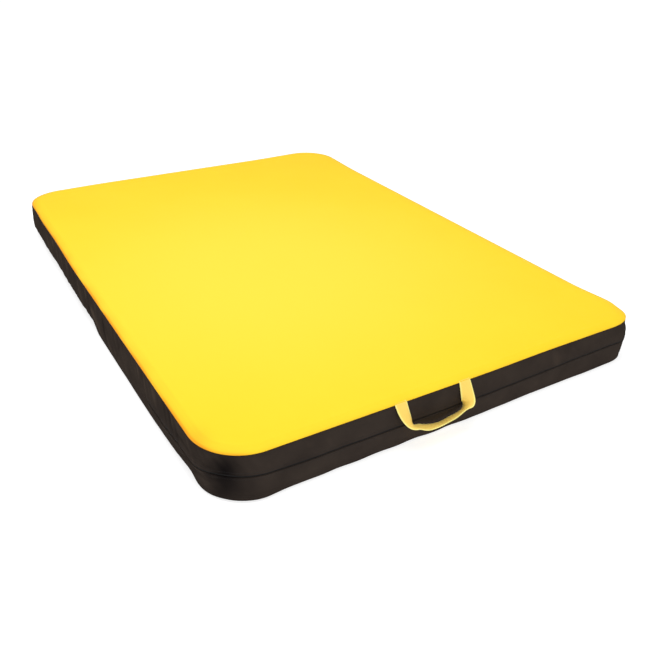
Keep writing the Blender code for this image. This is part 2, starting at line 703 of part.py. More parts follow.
def make_shoulder_strap(side_name, turn, front_panel, front_foam):
    """Padding, buckle and tail with a hook that unhooks from its loop, so that the strap can lift."""
    strap_body = "shoulder_strap_body_" + side_name
    hook_body = "shoulder_hook_body_" + side_name
    padding_end = SHOULDER_TOP + SHOULDER_LENGTH
    first_bar = padding_end + GAP + TAB_LENGTH
    last_bar = first_bar + BUCKLE_LENGTH - BUCKLE_BAR
    hook_bar = last_bar + TAIL_LENGTH
    y = shoulder_line(padding_end, turn)
    pivot(strap_body, (SHOULDER_TOP, shoulder_line(SHOULDER_TOP, turn), HARNESS_HEIGHT), "front_half")
    pivot(hook_body, (hook_bar, y, HARNESS_HEIGHT), strap_body)
    make_padding("shoulder_padding_" + side_name, turn, strap_body)

    def along_x(x):
        return frame_at((x, y, HARNESS_HEIGHT), (1, 0, 0), (0, 0, 1), (0, -1, 0))

    tab_start = padding_end + GAP + STRAP_THICKNESS / 2
    tab_length = TAB_LENGTH - STRAP_THICKNESS / 2
    webbing("buckle_tab_" + side_name, along_x(tab_start), tab_length, strap_body, None, BUCKLE_EYE)
    make_buckle("shoulder_buckle_" + side_name, first_bar, y, strap_body)
    eye = WIRE_RADIUS + EYE_CLEARANCE
    webbing("shoulder_tail_" + side_name, along_x(last_bar), TAIL_LENGTH, strap_body, BUCKLE_EYE, eye)
    wire_hook("shoulder_hook_" + side_name, along_x(hook_bar), hook_body)
    loop_root = hook_bar + hook_reach() + HOLLOW_MARGIN + EYE_RADIUS + LOOP_LENGTH
    hook_loop("shoulder_loop_" + side_name, (loop_root, y), (-1, 0), "front_half")

    def outline(grow, _reach):
        start = SHOULDER_TOP - SHOULDER_THICKNESS / 2 - STRAP_THICKNESS
        end = loop_root + STRAP_THICKNESS + grow
        xs = [start - grow]
        xs += [SHOULDER_TOP + SHOULDER_LENGTH * i / PADDING_STEPS for i in range(PADDING_STEPS + 1)]
        xs.append(end)
        near = []
        far = []
        for x in xs:
            middle = shoulder_line(x, turn)
            half = max(padding_half(max(x, SHOULDER_TOP)) + HOLLOW_MARGIN, HOLLOW_HALF) + grow
            near.append((x, middle - half))
            far.append((x, middle + half))
        return near + far[::-1]

    press_hollow("shoulder_" + side_name, outline, front_panel, front_foam)


def make_half(side, ending, body):
    """Foam core, base and landing panels of one half; gives its base panel and base foam."""

    def layered(name, finish, profile):
        return half_layer(name + ending, finish, side, profile, body)

    landing = crown_profile(SKIN)[::-1] + crown_profile(0.0)
    layered("landing_panel_", "landing fabric", landing)
    top_wall = wall_profile(FOAM_INSET, TOP_FOAM_BASE, SEAM_HEIGHT)
    layered("top_foam_", "closed-cell foam", top_wall[:-1] + crown_profile(FOAM_INSET))
    core = wall_profile(FOAM_INSET, BASE_FOAM_TOP + GAP, TOP_FOAM_BASE - GAP)
    layered("core_foam_", "open-cell foam", core)
    foam = layered("base_foam_", "closed-cell foam", wall_profile(FOAM_INSET, FOAM_INSET, BASE_FOAM_TOP))
    panel_offset = -EDGE_RADIUS - GAP
    panel = layered("base_panel_", "base fabric", [(panel_offset, 0.0), (panel_offset, SKIN)])
    return panel, foam


def main():
    remove_old_objects()
    pivot("front_half", (0.0, 0.0, FOLD_HEIGHT))
    rear_panel, rear_foam = make_half(REAR, "rear", None)
    front_panel, front_foam = make_half(FRONT, "front", "front_half")
    seam = SEAM_HEIGHT - GAP
    rear_band = half_band("side_band_rear", "side fabric", REAR, wall_section(0.0, seam))
    upper = wall_section(ZIP_HEIGHT + ZIP_SLOT / 2, seam)
    half_band("upper_side_band_front", "side fabric", FRONT, upper, "front_half")
    lower = wall_section(0.0, ZIP_HEIGHT - ZIP_SLOT / 2)
    half_band("lower_side_band_front", "side fabric", FRONT, lower, "front_half")
    make_slider(make_zip())
    make_handle("carry_handle_front", FRONT, "front_handle_body")
    make_handle("carry_handle_rear", REAR, "rear_handle_body")
    for side_name, direction in (("left", -1), ("right", 1)):
        x = direction * CLOSURE_SPACING / 2
        make_closure(side_name, x, rear_panel, rear_foam, rear_band, front_panel, front_foam)
        make_shoulder_strap(side_name, direction, front_panel, front_foam)


main()
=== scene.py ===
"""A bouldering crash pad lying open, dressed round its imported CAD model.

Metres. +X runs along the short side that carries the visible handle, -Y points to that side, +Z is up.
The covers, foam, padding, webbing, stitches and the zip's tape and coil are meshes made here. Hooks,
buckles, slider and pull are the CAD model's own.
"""

import math

import bpy
import numpy as np
from mathutils import Matrix, Vector, noise


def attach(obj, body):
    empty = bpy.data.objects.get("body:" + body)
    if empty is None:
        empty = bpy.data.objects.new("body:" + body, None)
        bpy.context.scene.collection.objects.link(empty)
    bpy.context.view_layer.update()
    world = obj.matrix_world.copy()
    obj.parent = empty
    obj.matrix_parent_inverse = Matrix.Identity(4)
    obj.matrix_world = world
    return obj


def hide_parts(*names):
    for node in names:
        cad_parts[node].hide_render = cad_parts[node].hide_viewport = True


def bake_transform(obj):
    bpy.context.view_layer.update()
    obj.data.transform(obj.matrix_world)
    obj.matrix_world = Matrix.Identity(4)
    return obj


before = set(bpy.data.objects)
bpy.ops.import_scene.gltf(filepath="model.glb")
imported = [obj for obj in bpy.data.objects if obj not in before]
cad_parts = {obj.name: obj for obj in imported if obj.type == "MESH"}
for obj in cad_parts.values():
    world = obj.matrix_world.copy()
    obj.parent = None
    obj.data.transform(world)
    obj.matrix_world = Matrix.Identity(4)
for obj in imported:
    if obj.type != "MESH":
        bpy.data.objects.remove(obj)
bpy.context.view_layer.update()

# Sizes shared with the CAD model
PAD_WIDTH = 1.0
PAD_LENGTH = 1.385
SEAM_HEIGHT = 0.0965
CORNER_RADIUS = 0.097
EDGE_RADIUS = 0.012
SIDE_BULGE = 0.0045
CROWN_RISE = 0.0065
CROWN_RUN = 0.035
ZIP_HEIGHT = 0.049
ZIP_END = 0.38
HANDLE_WIDTH = 0.026
HANDLE_THICKNESS = 0.0016
HANDLE_LEFT = -0.1365
HANDLE_RIGHT = 0.0105
HANDLE_DROP = 0.071
HANDLE_REACH = 0.0138
HARNESS_HEIGHT = 0.0048
STRAP_WIDTH = 0.025
STRAP_THICKNESS = 0.0012
HOLLOW_DEPTH = 0.0096
CLOSURE_X = 0.30
CLOSURE_ROOT = 0.6875
CLOSURE_BAR = 0.3475
LOOP_EYE = -0.5325
LOOP_LENGTH = 0.022
SHOULDER_TOP = -0.27
SHOULDER_CENTRE = -0.345
SHOULDER_SPREAD_TOP = 0.090
SHOULDER_SPREAD_LOW = 0.230
SHOULDER_LENGTH = 0.40
SHOULDER_WIDTH = 0.060
SHOULDER_THICKNESS = 0.009

HALF_X = PAD_WIDTH / 2
HALF_Y = PAD_LENGTH / 2
STRAIGHT_X = HALF_X - CORNER_RADIUS
STRAIGHT_Y = HALF_Y - CORNER_RADIUS
FOLD_FROM = -0.06
FOLD_STEP = 0.0025
FRONT = -1
REAR = 1


# Materials


def linear(hex_colour):
    """The linear colour that a shader needs for an sRGB hex value."""
    channels = [int(hex_colour[i : i + 2], 16) / 255 for i in (1, 3, 5)]
    return (*[c / 12.92 if c <= 0.04045 else ((c + 0.055) / 1.055) ** 2.4 for c in channels], 1.0)


def add(tree, kind, inputs=None, **settings):
    """Adds a shader node; each input is a value for its socket or another node's output to link."""
    made = tree.nodes.new(kind)
    for name, value in settings.items():
        setattr(made, name, value)
    for socket, value in (inputs or {}).items():
        if isinstance(value, bpy.types.NodeSocket):
            tree.links.new(value, made.inputs[socket])
        else:
            made.inputs[socket].default_value = value
    return made


def blank(name, finish):
    """A new material with its Principled shader's own sockets set."""
    made = bpy.data.materials.new(name)
    made.use_nodes = True
    for socket, value in finish.items():
        made.node_tree.nodes["Principled BSDF"].inputs[socket].default_value = value
    return made


def surface(tree, pattern, colours, stops, height, relief, strength=1.0):
    """Fades a material between two colours by a pattern, and raises it by a height of so many metres."""
    shader = tree.nodes["Principled BSDF"]
    ramp = add(tree, "ShaderNodeValToRGB", {"Fac": pattern})
    for element, stop, colour in zip(ramp.color_ramp.elements, stops, colours):
        element.position = stop
        element.color = linear(colour)
    tree.links.new(ramp.outputs["Color"], shader.inputs["Base Color"])
    bump = add(tree, "ShaderNodeBump", {"Height": height, "Distance": relief, "Strength": strength})
    tree.links.new(bump.outputs["Normal"], shader.inputs["Normal"])


def lay_tints(tree, tints):
    """Lays tints over a material's colour, each by its share from 0 to 1."""
    colour = tree.nodes["Principled BSDF"].inputs["Base Color"]
    for tint, share in tints:
        mixed = {"Factor": share, 6: colour.links[0].from_socket, 7: linear(tint)}
        tree.links.new(add(tree, "ShaderNodeMix", mixed, data_type="RGBA").outputs[2], colour)


def plain_weave(tree, yarn):
    """Height of a plain weave, 0 to 1, from UV in metres: warp and weft pass over each other in turn."""
    uv = add(tree, "ShaderNodeTexCoord").outputs["UV"]
    settings = {"Vector": uv, "Scale": math.pi / 10 / yarn, "Phase Offset": -math.pi / 2}
    warp = add(tree, "ShaderNodeTexWave", settings, bands_direction="X").outputs["Fac"]
    weft = add(tree, "ShaderNodeTexWave", settings, bands_direction="Y").outputs["Fac"]
    over = add(tree, "ShaderNodeTexChecker", {"Vector": uv, "Scale": 1 / yarn}).outputs["Fac"]
    return add(tree, "ShaderNodeMix", {0: over, 2: warp, 3: weft}).outputs[0]


def woven(name, colours, finish, yarn, relief, drift_share, drift_size):
    """A woven cloth: yarns in relief and a slow drift of shade, as dyed cloth has."""
    made = blank(name, finish)
    tree = made.node_tree
    weave = plain_weave(tree, yarn)
    place = add(tree, "ShaderNodeTexCoord").outputs["UV"]
    drift = add(tree, "ShaderNodeTexNoise", {"Vector": place, "Scale": 1 / drift_size, "Detail": 3.0})
    shade = add(tree, "ShaderNodeMix", {0: drift_share, 2: weave, 3: drift.outputs["Fac"]})
    surface(tree, shade.outputs[0], colours, (0.2, 0.8), weave, relief)
    return made


def webbing(name, colours, finish, edge, width):
    """Woven webbing: a herringbone of ribs between two closed selvedges of another shade."""
    rib_pitch = 0.0018
    rib_run = 0.0032
    rib_height = 0.00018
    selvedge_from, selvedge_to = 0.0032, 0.0016
    made = blank(name, finish)
    tree = made.node_tree
    uv = add(tree, "ShaderNodeTexCoord").outputs["UV"]
    split = add(tree, "ShaderNodeSeparateXYZ", {"Vector": uv})
    across, along = split.outputs["X"], split.outputs["Y"]
    zigzag = add(tree, "ShaderNodeMath", {0: across, 1: rib_run}, operation="PINGPONG").outputs[0]
    slanted = add(tree, "ShaderNodeMath", {0: along, 1: zigzag}, operation="ADD").outputs[0]
    waves = {0: slanted, 1: 2 * math.pi / rib_pitch}
    turned = add(tree, "ShaderNodeMath", waves, operation="MULTIPLY").outputs[0]
    rib = add(tree, "ShaderNodeMath", {0: turned}, operation="SINE").outputs[0]
    height = add(tree, "ShaderNodeMapRange", {"Value": rib, "From Min": -1.0, "From Max": 1.0}).outputs[0]
    centred = add(tree, "ShaderNodeMath", {0: across, 1: width / 2}, operation="SUBTRACT").outputs[0]
    side = add(tree, "ShaderNodeMath", {0: centred}, operation="ABSOLUTE").outputs[0]
    edges = {"Value": side, "From Min": width / 2 - selvedge_from, "From Max": width / 2 - selvedge_to}
    selvedge = add(tree, "ShaderNodeMapRange", edges).outputs[0]
    surface(tree, height, colours, (0.0, 1.0), height, rib_height, strength=0.8)
    lay_tints(tree, [(edge, selvedge)])
    return made


def grained(name, colours, finish, grain, relief):
    """A moulded or cast surface: a fine even grain that also varies its shade a little."""
    made = blank(name, finish)
    tree = made.node_tree
    place = add(tree, "ShaderNodeTexCoord").outputs["Object"]
    speckle = add(tree, "ShaderNodeTexNoise", {"Vector": place, "Scale": 1 / grain, "Detail": 2.0})
    fine = speckle.outputs["Fac"]
    surface(tree, fine, colours, (0.35, 0.65), fine, relief)
    return made


def foam(name, colours, finish, cell, relief):
    """Cut foam: cells of one real size, each pale in its middle and darker where it meets the next."""
    made = blank(name, finish)
    tree = made.node_tree
    place = add(tree, "ShaderNodeTexCoord").outputs["Object"]
    cells = add(tree, "ShaderNodeTexVoronoi", {"Vector": place, "Scale": 1 / cell}).outputs["Distance"]
    surface(tree, cells, colours[::-1], (0.1, 0.8), cells, -relief)
    return made


def bonded_thread():
    """Bonded polyester thread: a soft shine, and its twist as slanting bands.

    A scale of 300 sets the bands 1.2 mm apart along their diagonal.
    """
    made = blank("bonded thread, black", {"Roughness": 0.6, "Specular IOR Level": 0.35})
    tree = made.node_tree
    place = add(tree, "ShaderNodeTexCoord").outputs["Object"]
    bands = {"Vector": place, "Scale": 300.0}
    twist = add(tree, "ShaderNodeTexWave", bands, bands_direction="DIAGONAL").outputs["Fac"]
    surface(tree, twist, ("#101010", "#242322"), (0.2, 0.8), twist, 0.0001)
    return made


def landing_nylon():
    """Lemon-yellow nylon with a polyurethane coating: smooth, and paler in a broad pool of painted light
    a little left of the middle and towards the front.

    Its yarns are 0.6 mm and are drawn 1.6 mm wide, or they wouldn't show at all. An attribute of the mesh
    lays an orange tint over the edge, 1 at most and 0 where the cloth is single: painted shade where the
    cloth rolls over the foam's edge, strongest on the left side, and over the turned-in seam allowance partly
    painted shade and partly the doubled cloth's own tone.
    """
    finish = {"Roughness": 0.60, "Specular IOR Level": 0.12}
    made = woven(
        "coated nylon, lemon yellow", ("#FFD323", "#FFD92B"), finish,
        yarn=0.0016, relief=0.00006, drift_share=0.75, drift_size=0.22,
    )
    tree = made.node_tree
    uv = add(tree, "ShaderNodeTexCoord").outputs["UV"]
    # A broad pool of painted light, palest a little left of the middle and towards the front
    from_middle = add(tree, "ShaderNodeVectorMath", {0: uv, 1: (-0.10, -0.12, 0)}, operation="DISTANCE")
    span = {"Value": from_middle.outputs["Value"], "From Min": 0.75, "From Max": 0.10}
    painted_light_pool = add(tree, "ShaderNodeMapRange", span, interpolation_type="SMOOTHSTEP").outputs[0]
    # Orange of the edge: painted shade, and over the allowance partly the doubled cloth's own tone
    shade_and_doubling = add(tree, "ShaderNodeAttribute", attribute_name="edge_shade_and_doubling").outputs["Fac"]
    lay_tints(tree, [("#FFDA3E", painted_light_pool), ("#F2A21C", shade_and_doubling)])
    return made


def side_polyester():
    """Black polyester cloth for the sides: dull and rough, with a warm painted highlight on its ridges.

    The mesh's relief says how far the cloth stands off there: ridges get a paler painted highlight, and
    hollows and the front left corner a darker painted shade.
    """
    finish = {"Roughness": 0.80, "Specular IOR Level": 0.0}
    made = woven(
        "oxford polyester, warm black", ("#2C2623", "#3F3731"), finish,
        yarn=0.0018, relief=0.00016, drift_share=0.6, drift_size=0.06,
    )
    tree = made.node_tree
    relief = add(tree, "ShaderNodeAttribute", attribute_name="relief").outputs["Fac"]
    # Painted shade in the hollows and painted highlight on the ridges, both read from the relief
    painted_hollow_shade = add(tree, "ShaderNodeMapRange", {"Value": relief, "From Min": -0.0003, "From Max": -0.0040})
    ridge = add(tree, "ShaderNodeMapRange", {"Value": relief, "From Min": 0.0003, "From Max": 0.0026})
    lay_tints(tree, [("#161313", painted_hollow_shade.outputs[0]), ("#4D4239", ridge.outputs[0])])
    return made


LANDING_NYLON = landing_nylon()
SIDE_POLYESTER = side_polyester()
BLACK_THREAD = bonded_thread()
# Woven of thick yarns and coated against wear: a coarse basket with a slight shine
BASE_NYLON = woven(
    "ballistic nylon, black", ("#1C1B1B", "#2A2928"), {"Roughness": 0.55, "Specular IOR Level": 0.40},
    yarn=0.0024, relief=0.00025, drift_share=0.5, drift_size=0.10,
)
# Woven cover, worn against the shoulders: matt, with a soft bloom where light grazes it
STRAP_COVER = woven(
    "woven polyester over foam, black", ("#201E1E", "#2D2A29"), {"Roughness": 0.75, "Sheen Weight": 0.15},
    yarn=0.0014, relief=0.00015, drift_share=0.4, drift_size=0.05,
)
# Woven tape: dull and a little darker than the sides. Its yarns are drawn twice as wide as they are, to show
ZIP_TAPE_WEAVE = woven(
    "polyester zip tape, black", ("#141312", "#201E1D"), {"Roughness": 0.8},
    yarn=0.0009, relief=0.00010, drift_share=0.3, drift_size=0.05,
)
# Woven ribbon with thick ribs: a dull edge that looks finely ridged
GROSGRAIN = woven(
    "grosgrain binding, black", ("#171616", "#232121"), {"Roughness": 0.7},
    yarn=0.0011, relief=0.00020, drift_share=0.3, drift_size=0.05,
)
# Woven webbing of soft, bright yarns: its ribs catch the light, and its paler selvedges are partly its own
# tone and partly painted highlight along the rims
HANDLE_WEBBING = webbing(
    "polyester webbing, golden yellow", ("#FFD052", "#FFE173"),
    {"Roughness": 0.6, "Sheen Weight": 0.10, "Specular IOR Level": 0.35}, edge="#FFF08A", width=HANDLE_WIDTH,
)
# Woven webbing of plastic yarns: harder ribs with a dull shine, and even selvedges
BLACK_WEBBING = webbing(
    "polypropylene webbing, black", ("#151515", "#272626"),
    {"Roughness": 0.5, "Specular IOR Level": 0.4}, edge="#1E1D1D", width=STRAP_WIDTH,
)
# Wound from moulded nylon: near black, with hardly any shine between its turns
ZIP_NYLON = grained(
    "moulded nylon coil, black", ("#0C0B0B", "#141313"),
    {"Roughness": 0.55, "Specular IOR Level": 0.15}, grain=0.002, relief=0.00003,
)
# Moulded in a spark-eroded tool: even black with a soft shine and a fine grain
ACETAL = grained(
    "moulded acetal, black", ("#141415", "#1D1D1E"), {"Roughness": 0.42}, grain=0.0009, relief=0.00004,
)
# Cast and lacquered: dark metal with broad highlights
LACQUERED_ZINC = grained(
    "die-cast zinc, dark lacquer", ("#3F4044", "#55565A"),
    {"Roughness": 0.32, "Metallic": 0.9}, grain=0.003, relief=0.00004,
)
# Bent from drawn wire: pale metal with satin highlights
SATIN_ALUMINIUM = grained(
    "bent aluminium wire, satin", ("#B9BBBE", "#CFD1D3"),
    {"Roughness": 0.34, "Metallic": 1.0}, grain=0.004, relief=0.00003,
)
# Cut from a block with fine closed cells: cool grey and nearly even
CLOSED_CELL = foam(
    "polyethylene foam, grey", ("#8F9194", "#A6A8AB"), {"Roughness": 0.7}, cell=0.0012, relief=0.0001,
)
# Cut from a block with open cells: cream, quite dull, with a shadow round each cell
OPEN_CELL = foam(
    "polyurethane foam, cream", ("#D2C698", "#EADFB6"), {"Roughness": 0.95}, cell=0.0020, relief=0.0004,
)


# Meshes from rows of points


def piece(name, points, faces, uv, finish):
    """A smooth mesh object; uv gives one pair for each corner of each face."""
    mesh = bpy.data.meshes.new(name)
    mesh.from_pydata([tuple(p) for p in points], [], faces)
    layer = mesh.uv_layers.new(name="cloth")
    layer.data.foreach_set("uv", np.asarray(uv, float).ravel())
    mesh.materials.append(finish)
    mesh.shade_smooth()
    made = bpy.data.objects.new(name, mesh)
    bpy.context.scene.collection.objects.link(made)
    return made


def rows_to_faces(rows, columns, closed_rows, closed_columns, caps=False):
    """Quads between rows of points, with the (row, column) of every corner before it wraps round."""
    faces = []
    corners = []
    for r in range(rows if closed_rows else rows - 1):
        for c in range(columns if closed_columns else columns - 1):
            quad = [(r, c), (r, c + 1), (r + 1, c + 1), (r + 1, c)]
            faces.append([(i % rows) * columns + j % columns for i, j in quad])
            corners += quad
    if caps:
        for r, order in ((0, range(columns - 1, -1, -1)), (rows - 1, range(columns))):
            faces.append([r * columns + c for c in order])
            corners += [(r, c) for c in order]
    return faces, corners


def on_corner(side_x, side_y, angle):
    """A place on the outline's round corner on those sides, and the direction outwards from it."""
    direction = (math.cos(angle), math.sin(angle))
    x = side_x * STRAIGHT_X + CORNER_RADIUS * direction[0]
    y = side_y * STRAIGHT_Y + CORNER_RADIUS * direction[1]
    return (x, y), direction


def lengths_along(line):
    """Length from the first point of a line to each of its points."""
    steps = np.linalg.norm(np.diff(line, axis=0), axis=1)
    return np.concatenate([[0], np.cumsum(steps)])


def outline(x_lines, y_lines, corner_steps):
    """Once round the seam, anticlockwise from above: place, outward direction and length so far."""
    places = []
    outward = []

    def turn(side_x, side_y, start):
        for k in range(1, corner_steps):
            place, direction = on_corner(side_x, side_y, math.radians(start + 90 * k / corner_steps))
            places.append(place)
            outward.append(direction)

    for sign in (1, -1):
        places.extend((sign * HALF_X, y) for y in y_lines[::sign])
        outward.extend([(sign, 0)] * len(y_lines))
        turn(sign, sign, 0 if sign > 0 else 180)
        places.extend((x, sign * HALF_Y) for x in x_lines[::-sign])
        outward.extend([(0, sign)] * len(x_lines))
        turn(-sign, sign, 90 if sign > 0 else 270)
    return np.array(places), np.array(outward, float), lengths_along([*places, places[0]])


def spaced(low, high, step, fine_from=None, fine_to=None, fine_step=None):
    """Lines from low to high about a step apart, closer together across the fold."""
    if fine_from is None:
        return list(np.linspace(low, high, round((high - low) / step) + 1))
    parts = [spaced(low, fine_from, step)[:-1], spaced(fine_from, fine_to, fine_step)[:-1]]
    return [*parts[0], *parts[1], *spaced(fine_to, high, step)]


def grid_lines(step, margin):
    """Lines across and along the straight sides, closer together where the pad folds."""
    x_lines = spaced(-STRAIGHT_X, STRAIGHT_X, step)
    return x_lines, spaced(-STRAIGHT_Y, STRAIGHT_Y, step, FOLD_FROM - margin, margin, FOLD_STEP)


SHEET_CORNER_STEPS = 20


def sheet(x_lines, y_lines, profile):
    """A sheet over the whole outline: rings that follow it inwards, then a grid inside the straight sides.

    The profile gives each ring's offset from the outline and its lift, and the grid takes the last lift.
    Returns plan places, each place's offset from the outline, its lift, and faces that look up.
    """
    places, outward, _run = outline(x_lines, y_lines, SHEET_CORNER_STEPS)
    offsets = [offset for offset, _lift in profile]
    rises = [lift for _offset, lift in profile]
    columns = len(places)
    nx, ny = len(x_lines), len(y_lines)
    start = columns * len(profile)
    number = start + np.arange(nx * ny).reshape(nx, ny)
    border = []
    for side in (number[-1], number[::-1, -1], number[0, ::-1], number[:, 0]):
        border += side.tolist() + [int(side[-1])] * (SHEET_CORNER_STEPS - 1)
    rings = [[k * columns + c for c in range(columns)] for k in range(len(profile))] + [border]
    faces = []
    for outer, inner in zip(rings, rings[1:]):
        for c in range(columns):
            n = (c + 1) % columns
            corners = [outer[c], outer[n], inner[n], inner[c]]
            faces.append(corners if inner[n] != inner[c] else corners[:3])
    for i in range(nx - 1):
        for j in range(ny - 1):
            a = start + i * ny + j
            faces.append([a, a + ny, a + ny + 1, a + 1])
    grid = np.array([(x, y) for x in x_lines for y in y_lines])
    plan = np.concatenate([*[places + outward * offset for offset in offsets], grid])
    depth = np.concatenate([np.repeat(offsets, columns), np.full(len(grid), -CORNER_RADIUS)])
    lift = np.concatenate([np.repeat(rises, columns), np.full(len(grid), rises[-1])])
    return plan, depth, lift, faces


def ripple(places, size, seed):
    """Smooth noise from -1 to 1 at each place; size is the wave's length along each of the two axes."""
    scaled = np.column_stack([np.asarray(places, float) / size, np.full(len(places), seed)])
    return np.array([noise.noise(Vector(row)) for row in scaled])


def smooth(low, high, value):
    """0 at low, 1 at high and an even slope between; low may be the larger of the two."""
    share = np.clip((np.asarray(value, float) - low) / (high - low), 0, 1)
    return share * share * (3 - 2 * share)


def hump(value, middle, half_width):
    """1 at the middle, falling off to both sides."""
    return np.exp(-(((value - middle) / half_width) ** 2))


# How the soft pad has settled: each rear corner's pull from its true place, along x and along y
REAR_PULLS = {-1: (0.0064, -0.0064), 1: (0.0078, 0.0078)}
# A pull is whole up to the first distance from the corner and ends at the second
PULL_FULL = 0.05
PULL_END = 0.26
LEFT_DRAW = 0.004
# The front right corner is drawn out squarer, above all at its front; the front seam is drawn in a little
RIGHT_LEAN = 0.0085
RIGHT_DRAW = 0.0150
FRONT_DRAW = 0.0030


def settle(plan, height):
    """The points over plan places, moved as the soft pad has settled.

    They follow the pulls of the rear corners, and the left side is drawn in a little behind the fold. The
    upper right side leans out towards the front corner. The zip's slider travels below it, so the cloth
    there stays where it is.
    """
    moved = np.column_stack([plan, height])
    x, y, height = moved.T.copy()
    for side_x, pull in REAR_PULLS.items():
        away = np.hypot(x - side_x * HALF_X, y - HALF_Y)
        share = 1 - smooth(PULL_FULL, PULL_END, away)
        moved[:, 0] += pull[0] * share
        moved[:, 1] += pull[1] * share
    behind = smooth(0.10, 0.35, y) * (1 - smooth(0.50, 0.68, y))
    moved[:, 0] += LEFT_DRAW * behind * (1 - smooth(0.05, 0.30, x + HALF_X))
    above_slider = np.maximum(smooth(0.062, 0.086, height), smooth(-0.592, -0.640, y))
    lean = RIGHT_LEAN * smooth(-0.50, -0.62, y) * above_slider
    draw = RIGHT_DRAW * smooth(-0.625, -0.685, y)
    moved[:, 0] += (lean + draw) * smooth(0.20, 0.44, x)
    front = smooth(0.05, 0.25, x) * smooth(0.50, 0.40, x) * smooth(-0.55, -0.66, y)
    moved[:, 1] += FRONT_DRAW * front
    return moved


def depth_inside(x, y):
    """How far a place lies inside the pad's outline."""
    from_x = np.abs(x) - STRAIGHT_X
    from_y = np.abs(y) - STRAIGHT_Y
    corner = np.hypot(np.maximum(from_x, 0), np.maximum(from_y, 0))
    return CORNER_RADIUS - corner - np.minimum(np.maximum(from_x, from_y), 0)


def outward_at(x, y):
    """Direction from each place straight to the nearest stretch of the outline."""
    from_x = np.abs(x) - STRAIGHT_X
    from_y = np.abs(y) - STRAIGHT_Y
    in_corner = (from_x > 0) & (from_y > 0)
    to_side = from_x > from_y
    across = np.where(in_corner, from_x, np.where(to_side, 1.0, 0.0))
    along = np.where(in_corner, from_y, np.where(to_side, 0.0, 1.0))
    length = np.hypot(across, along)
    return np.column_stack([np.sign(x) * across / length, np.sign(y) * along / length])


def keep_values(made, name, values):
    """Keeps a number for each point, which the cloth's material reads by that name."""
    kept = made.data.attributes.new(name, "FLOAT", "POINT")
    kept.data.foreach_set("value", values)


def thicken(made, thickness):
    """Gives a sheet its real thickness on its inner side."""
    step = made.modifiers.new("thickness", "SOLIDIFY")
    step.thickness = thickness
    step.offset = -1
    depsgraph = bpy.context.evaluated_depsgraph_get()
    mesh = bpy.data.meshes.new_from_object(made.evaluated_get(depsgraph))
    made.modifiers.clear()
    made.data = mesh


def bend_at_fold(made):
    """Bakes the piece's transform into its mesh."""
    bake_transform(made)


# Landing face, a single cloth over both halves


LANDING_STEP = 0.010
LANDING_THICKNESS = 0.0010
# Where the turned-in edge of the cloth ends under the face, as an offset from the outline
ALLOWANCE_EDGE = -0.0165


def shaded_and_doubled_edge(plan, depth):
    """How orange the cloth's edge is: painted shade where it rolls over the foam and at the front left
    corner, and over the seam allowance partly the doubled cloth and partly painted shade; most on the left
    side, little on the front.
    """
    x, y = plan.T
    left = smooth(STRAIGHT_X, HALF_X - 0.01, -x)
    # Painted shade where the cloth rolls over the foam's edge, most on the left side
    rolled = smooth(-0.0050, 0.0000, depth) * (0.12 + 0.58 * left)
    # Over the turned-in allowance: partly the doubled cloth's own tone, partly painted shade
    allowance = smooth(-0.020, -0.004, depth) * (0.08 + 0.14 * left)
    near = left * smooth(-0.20, -0.55, y)
    # Painted shade along the allowance's edge, most near the front of the left side
    line = hump(depth, ALLOWANCE_EDGE, 0.0012) * (0.03 + 0.22 * near)
    # Painted shade on the left side where the front left corner begins
    corner_shade = 0.30 * hump(x, -0.487, 0.016) * hump(y, -0.615, 0.030)
    uneven = 1 + 0.8 * ripple(plan, (0.030, 0.045), 7.5)
    return np.clip((rolled + allowance + line) * uneven + corner_shade, 0, 1)


def landing_face():
    """The yellow cloth on top: rolled over the foam's edge and a little slack on the flat middle."""
    x_lines, y_lines = grid_lines(LANDING_STEP, 0.010)
    # The cloth is turned in under the seam, rolls over the foam's edge and rises to the flat middle
    profile = [(-0.0030, -0.0045), (-0.0018, -0.0018), (0.0000, -0.0004), (0.0010, 0.0007), (0.0008, 0.0019)]
    for degrees in range(15, 90, 5):
        angle = math.radians(degrees)
        profile.append((CROWN_RUN * (math.cos(angle) - 1), CROWN_RISE * math.sin(angle)))
    profile += [(offset, CROWN_RISE) for offset in (-0.042, -0.050, -0.060, -0.070, -0.080, -0.089)]
    plan, depth, lift, faces = sheet(x_lines, y_lines, profile)
    # Slack cloth over soft foam, the turned-in seam allowance and small gathers along the seam
    free = smooth(-0.004, -0.060, depth)
    lift += free * 0.0013 * ripple(plan, (0.24, 0.31), 3.1)
    lift += free * 0.0004 * ripple(plan, (0.07, 0.09), 8.4)
    lift += 0.0005 * hump(depth, ALLOWANCE_EDGE, 0.0022)
    lift += 0.0004 * smooth(-0.040, -0.004, depth) * (depth < 0) * ripple(plan, (0.021, 0.021), 5.2)
    points = settle(plan, SEAM_HEIGHT + lift)
    uv = [plan[i] for face in faces for i in face]
    made = piece("landing_face", points, faces, uv, LANDING_NYLON)
    # Painted edge shade and the doubled allowance, kept for the cloth's material
    keep_values(made, "edge_shade_and_doubling", shaded_and_doubled_edge(plan, depth))
    thicken(made, LANDING_THICKNESS)
    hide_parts("landing_panel_front", "landing_panel_rear")
    bend_at_fold(made)


# Side wall with the zip's slot, a single band round the pad


WALL_STEP = 0.005
WALL_CORNER_STEPS = 28
WALL_THICKNESS = 0.0010
# Half the height of the zip's slot, and how deep it is
ZIP_LIP = 0.0023
ZIP_DEPTH = 0.0024
# The hem is lifted where a closure strap passes under it: half the width of the notch, and its height
NOTCH_HALF = 0.0145
NOTCH_HEIGHT = 0.0098


def wall_bulge(height):
    """How far the stuffed wall stands out at this height."""
    return SIDE_BULGE * np.sin(np.pi * np.clip(np.asarray(height) / SEAM_HEIGHT, 0, 1))


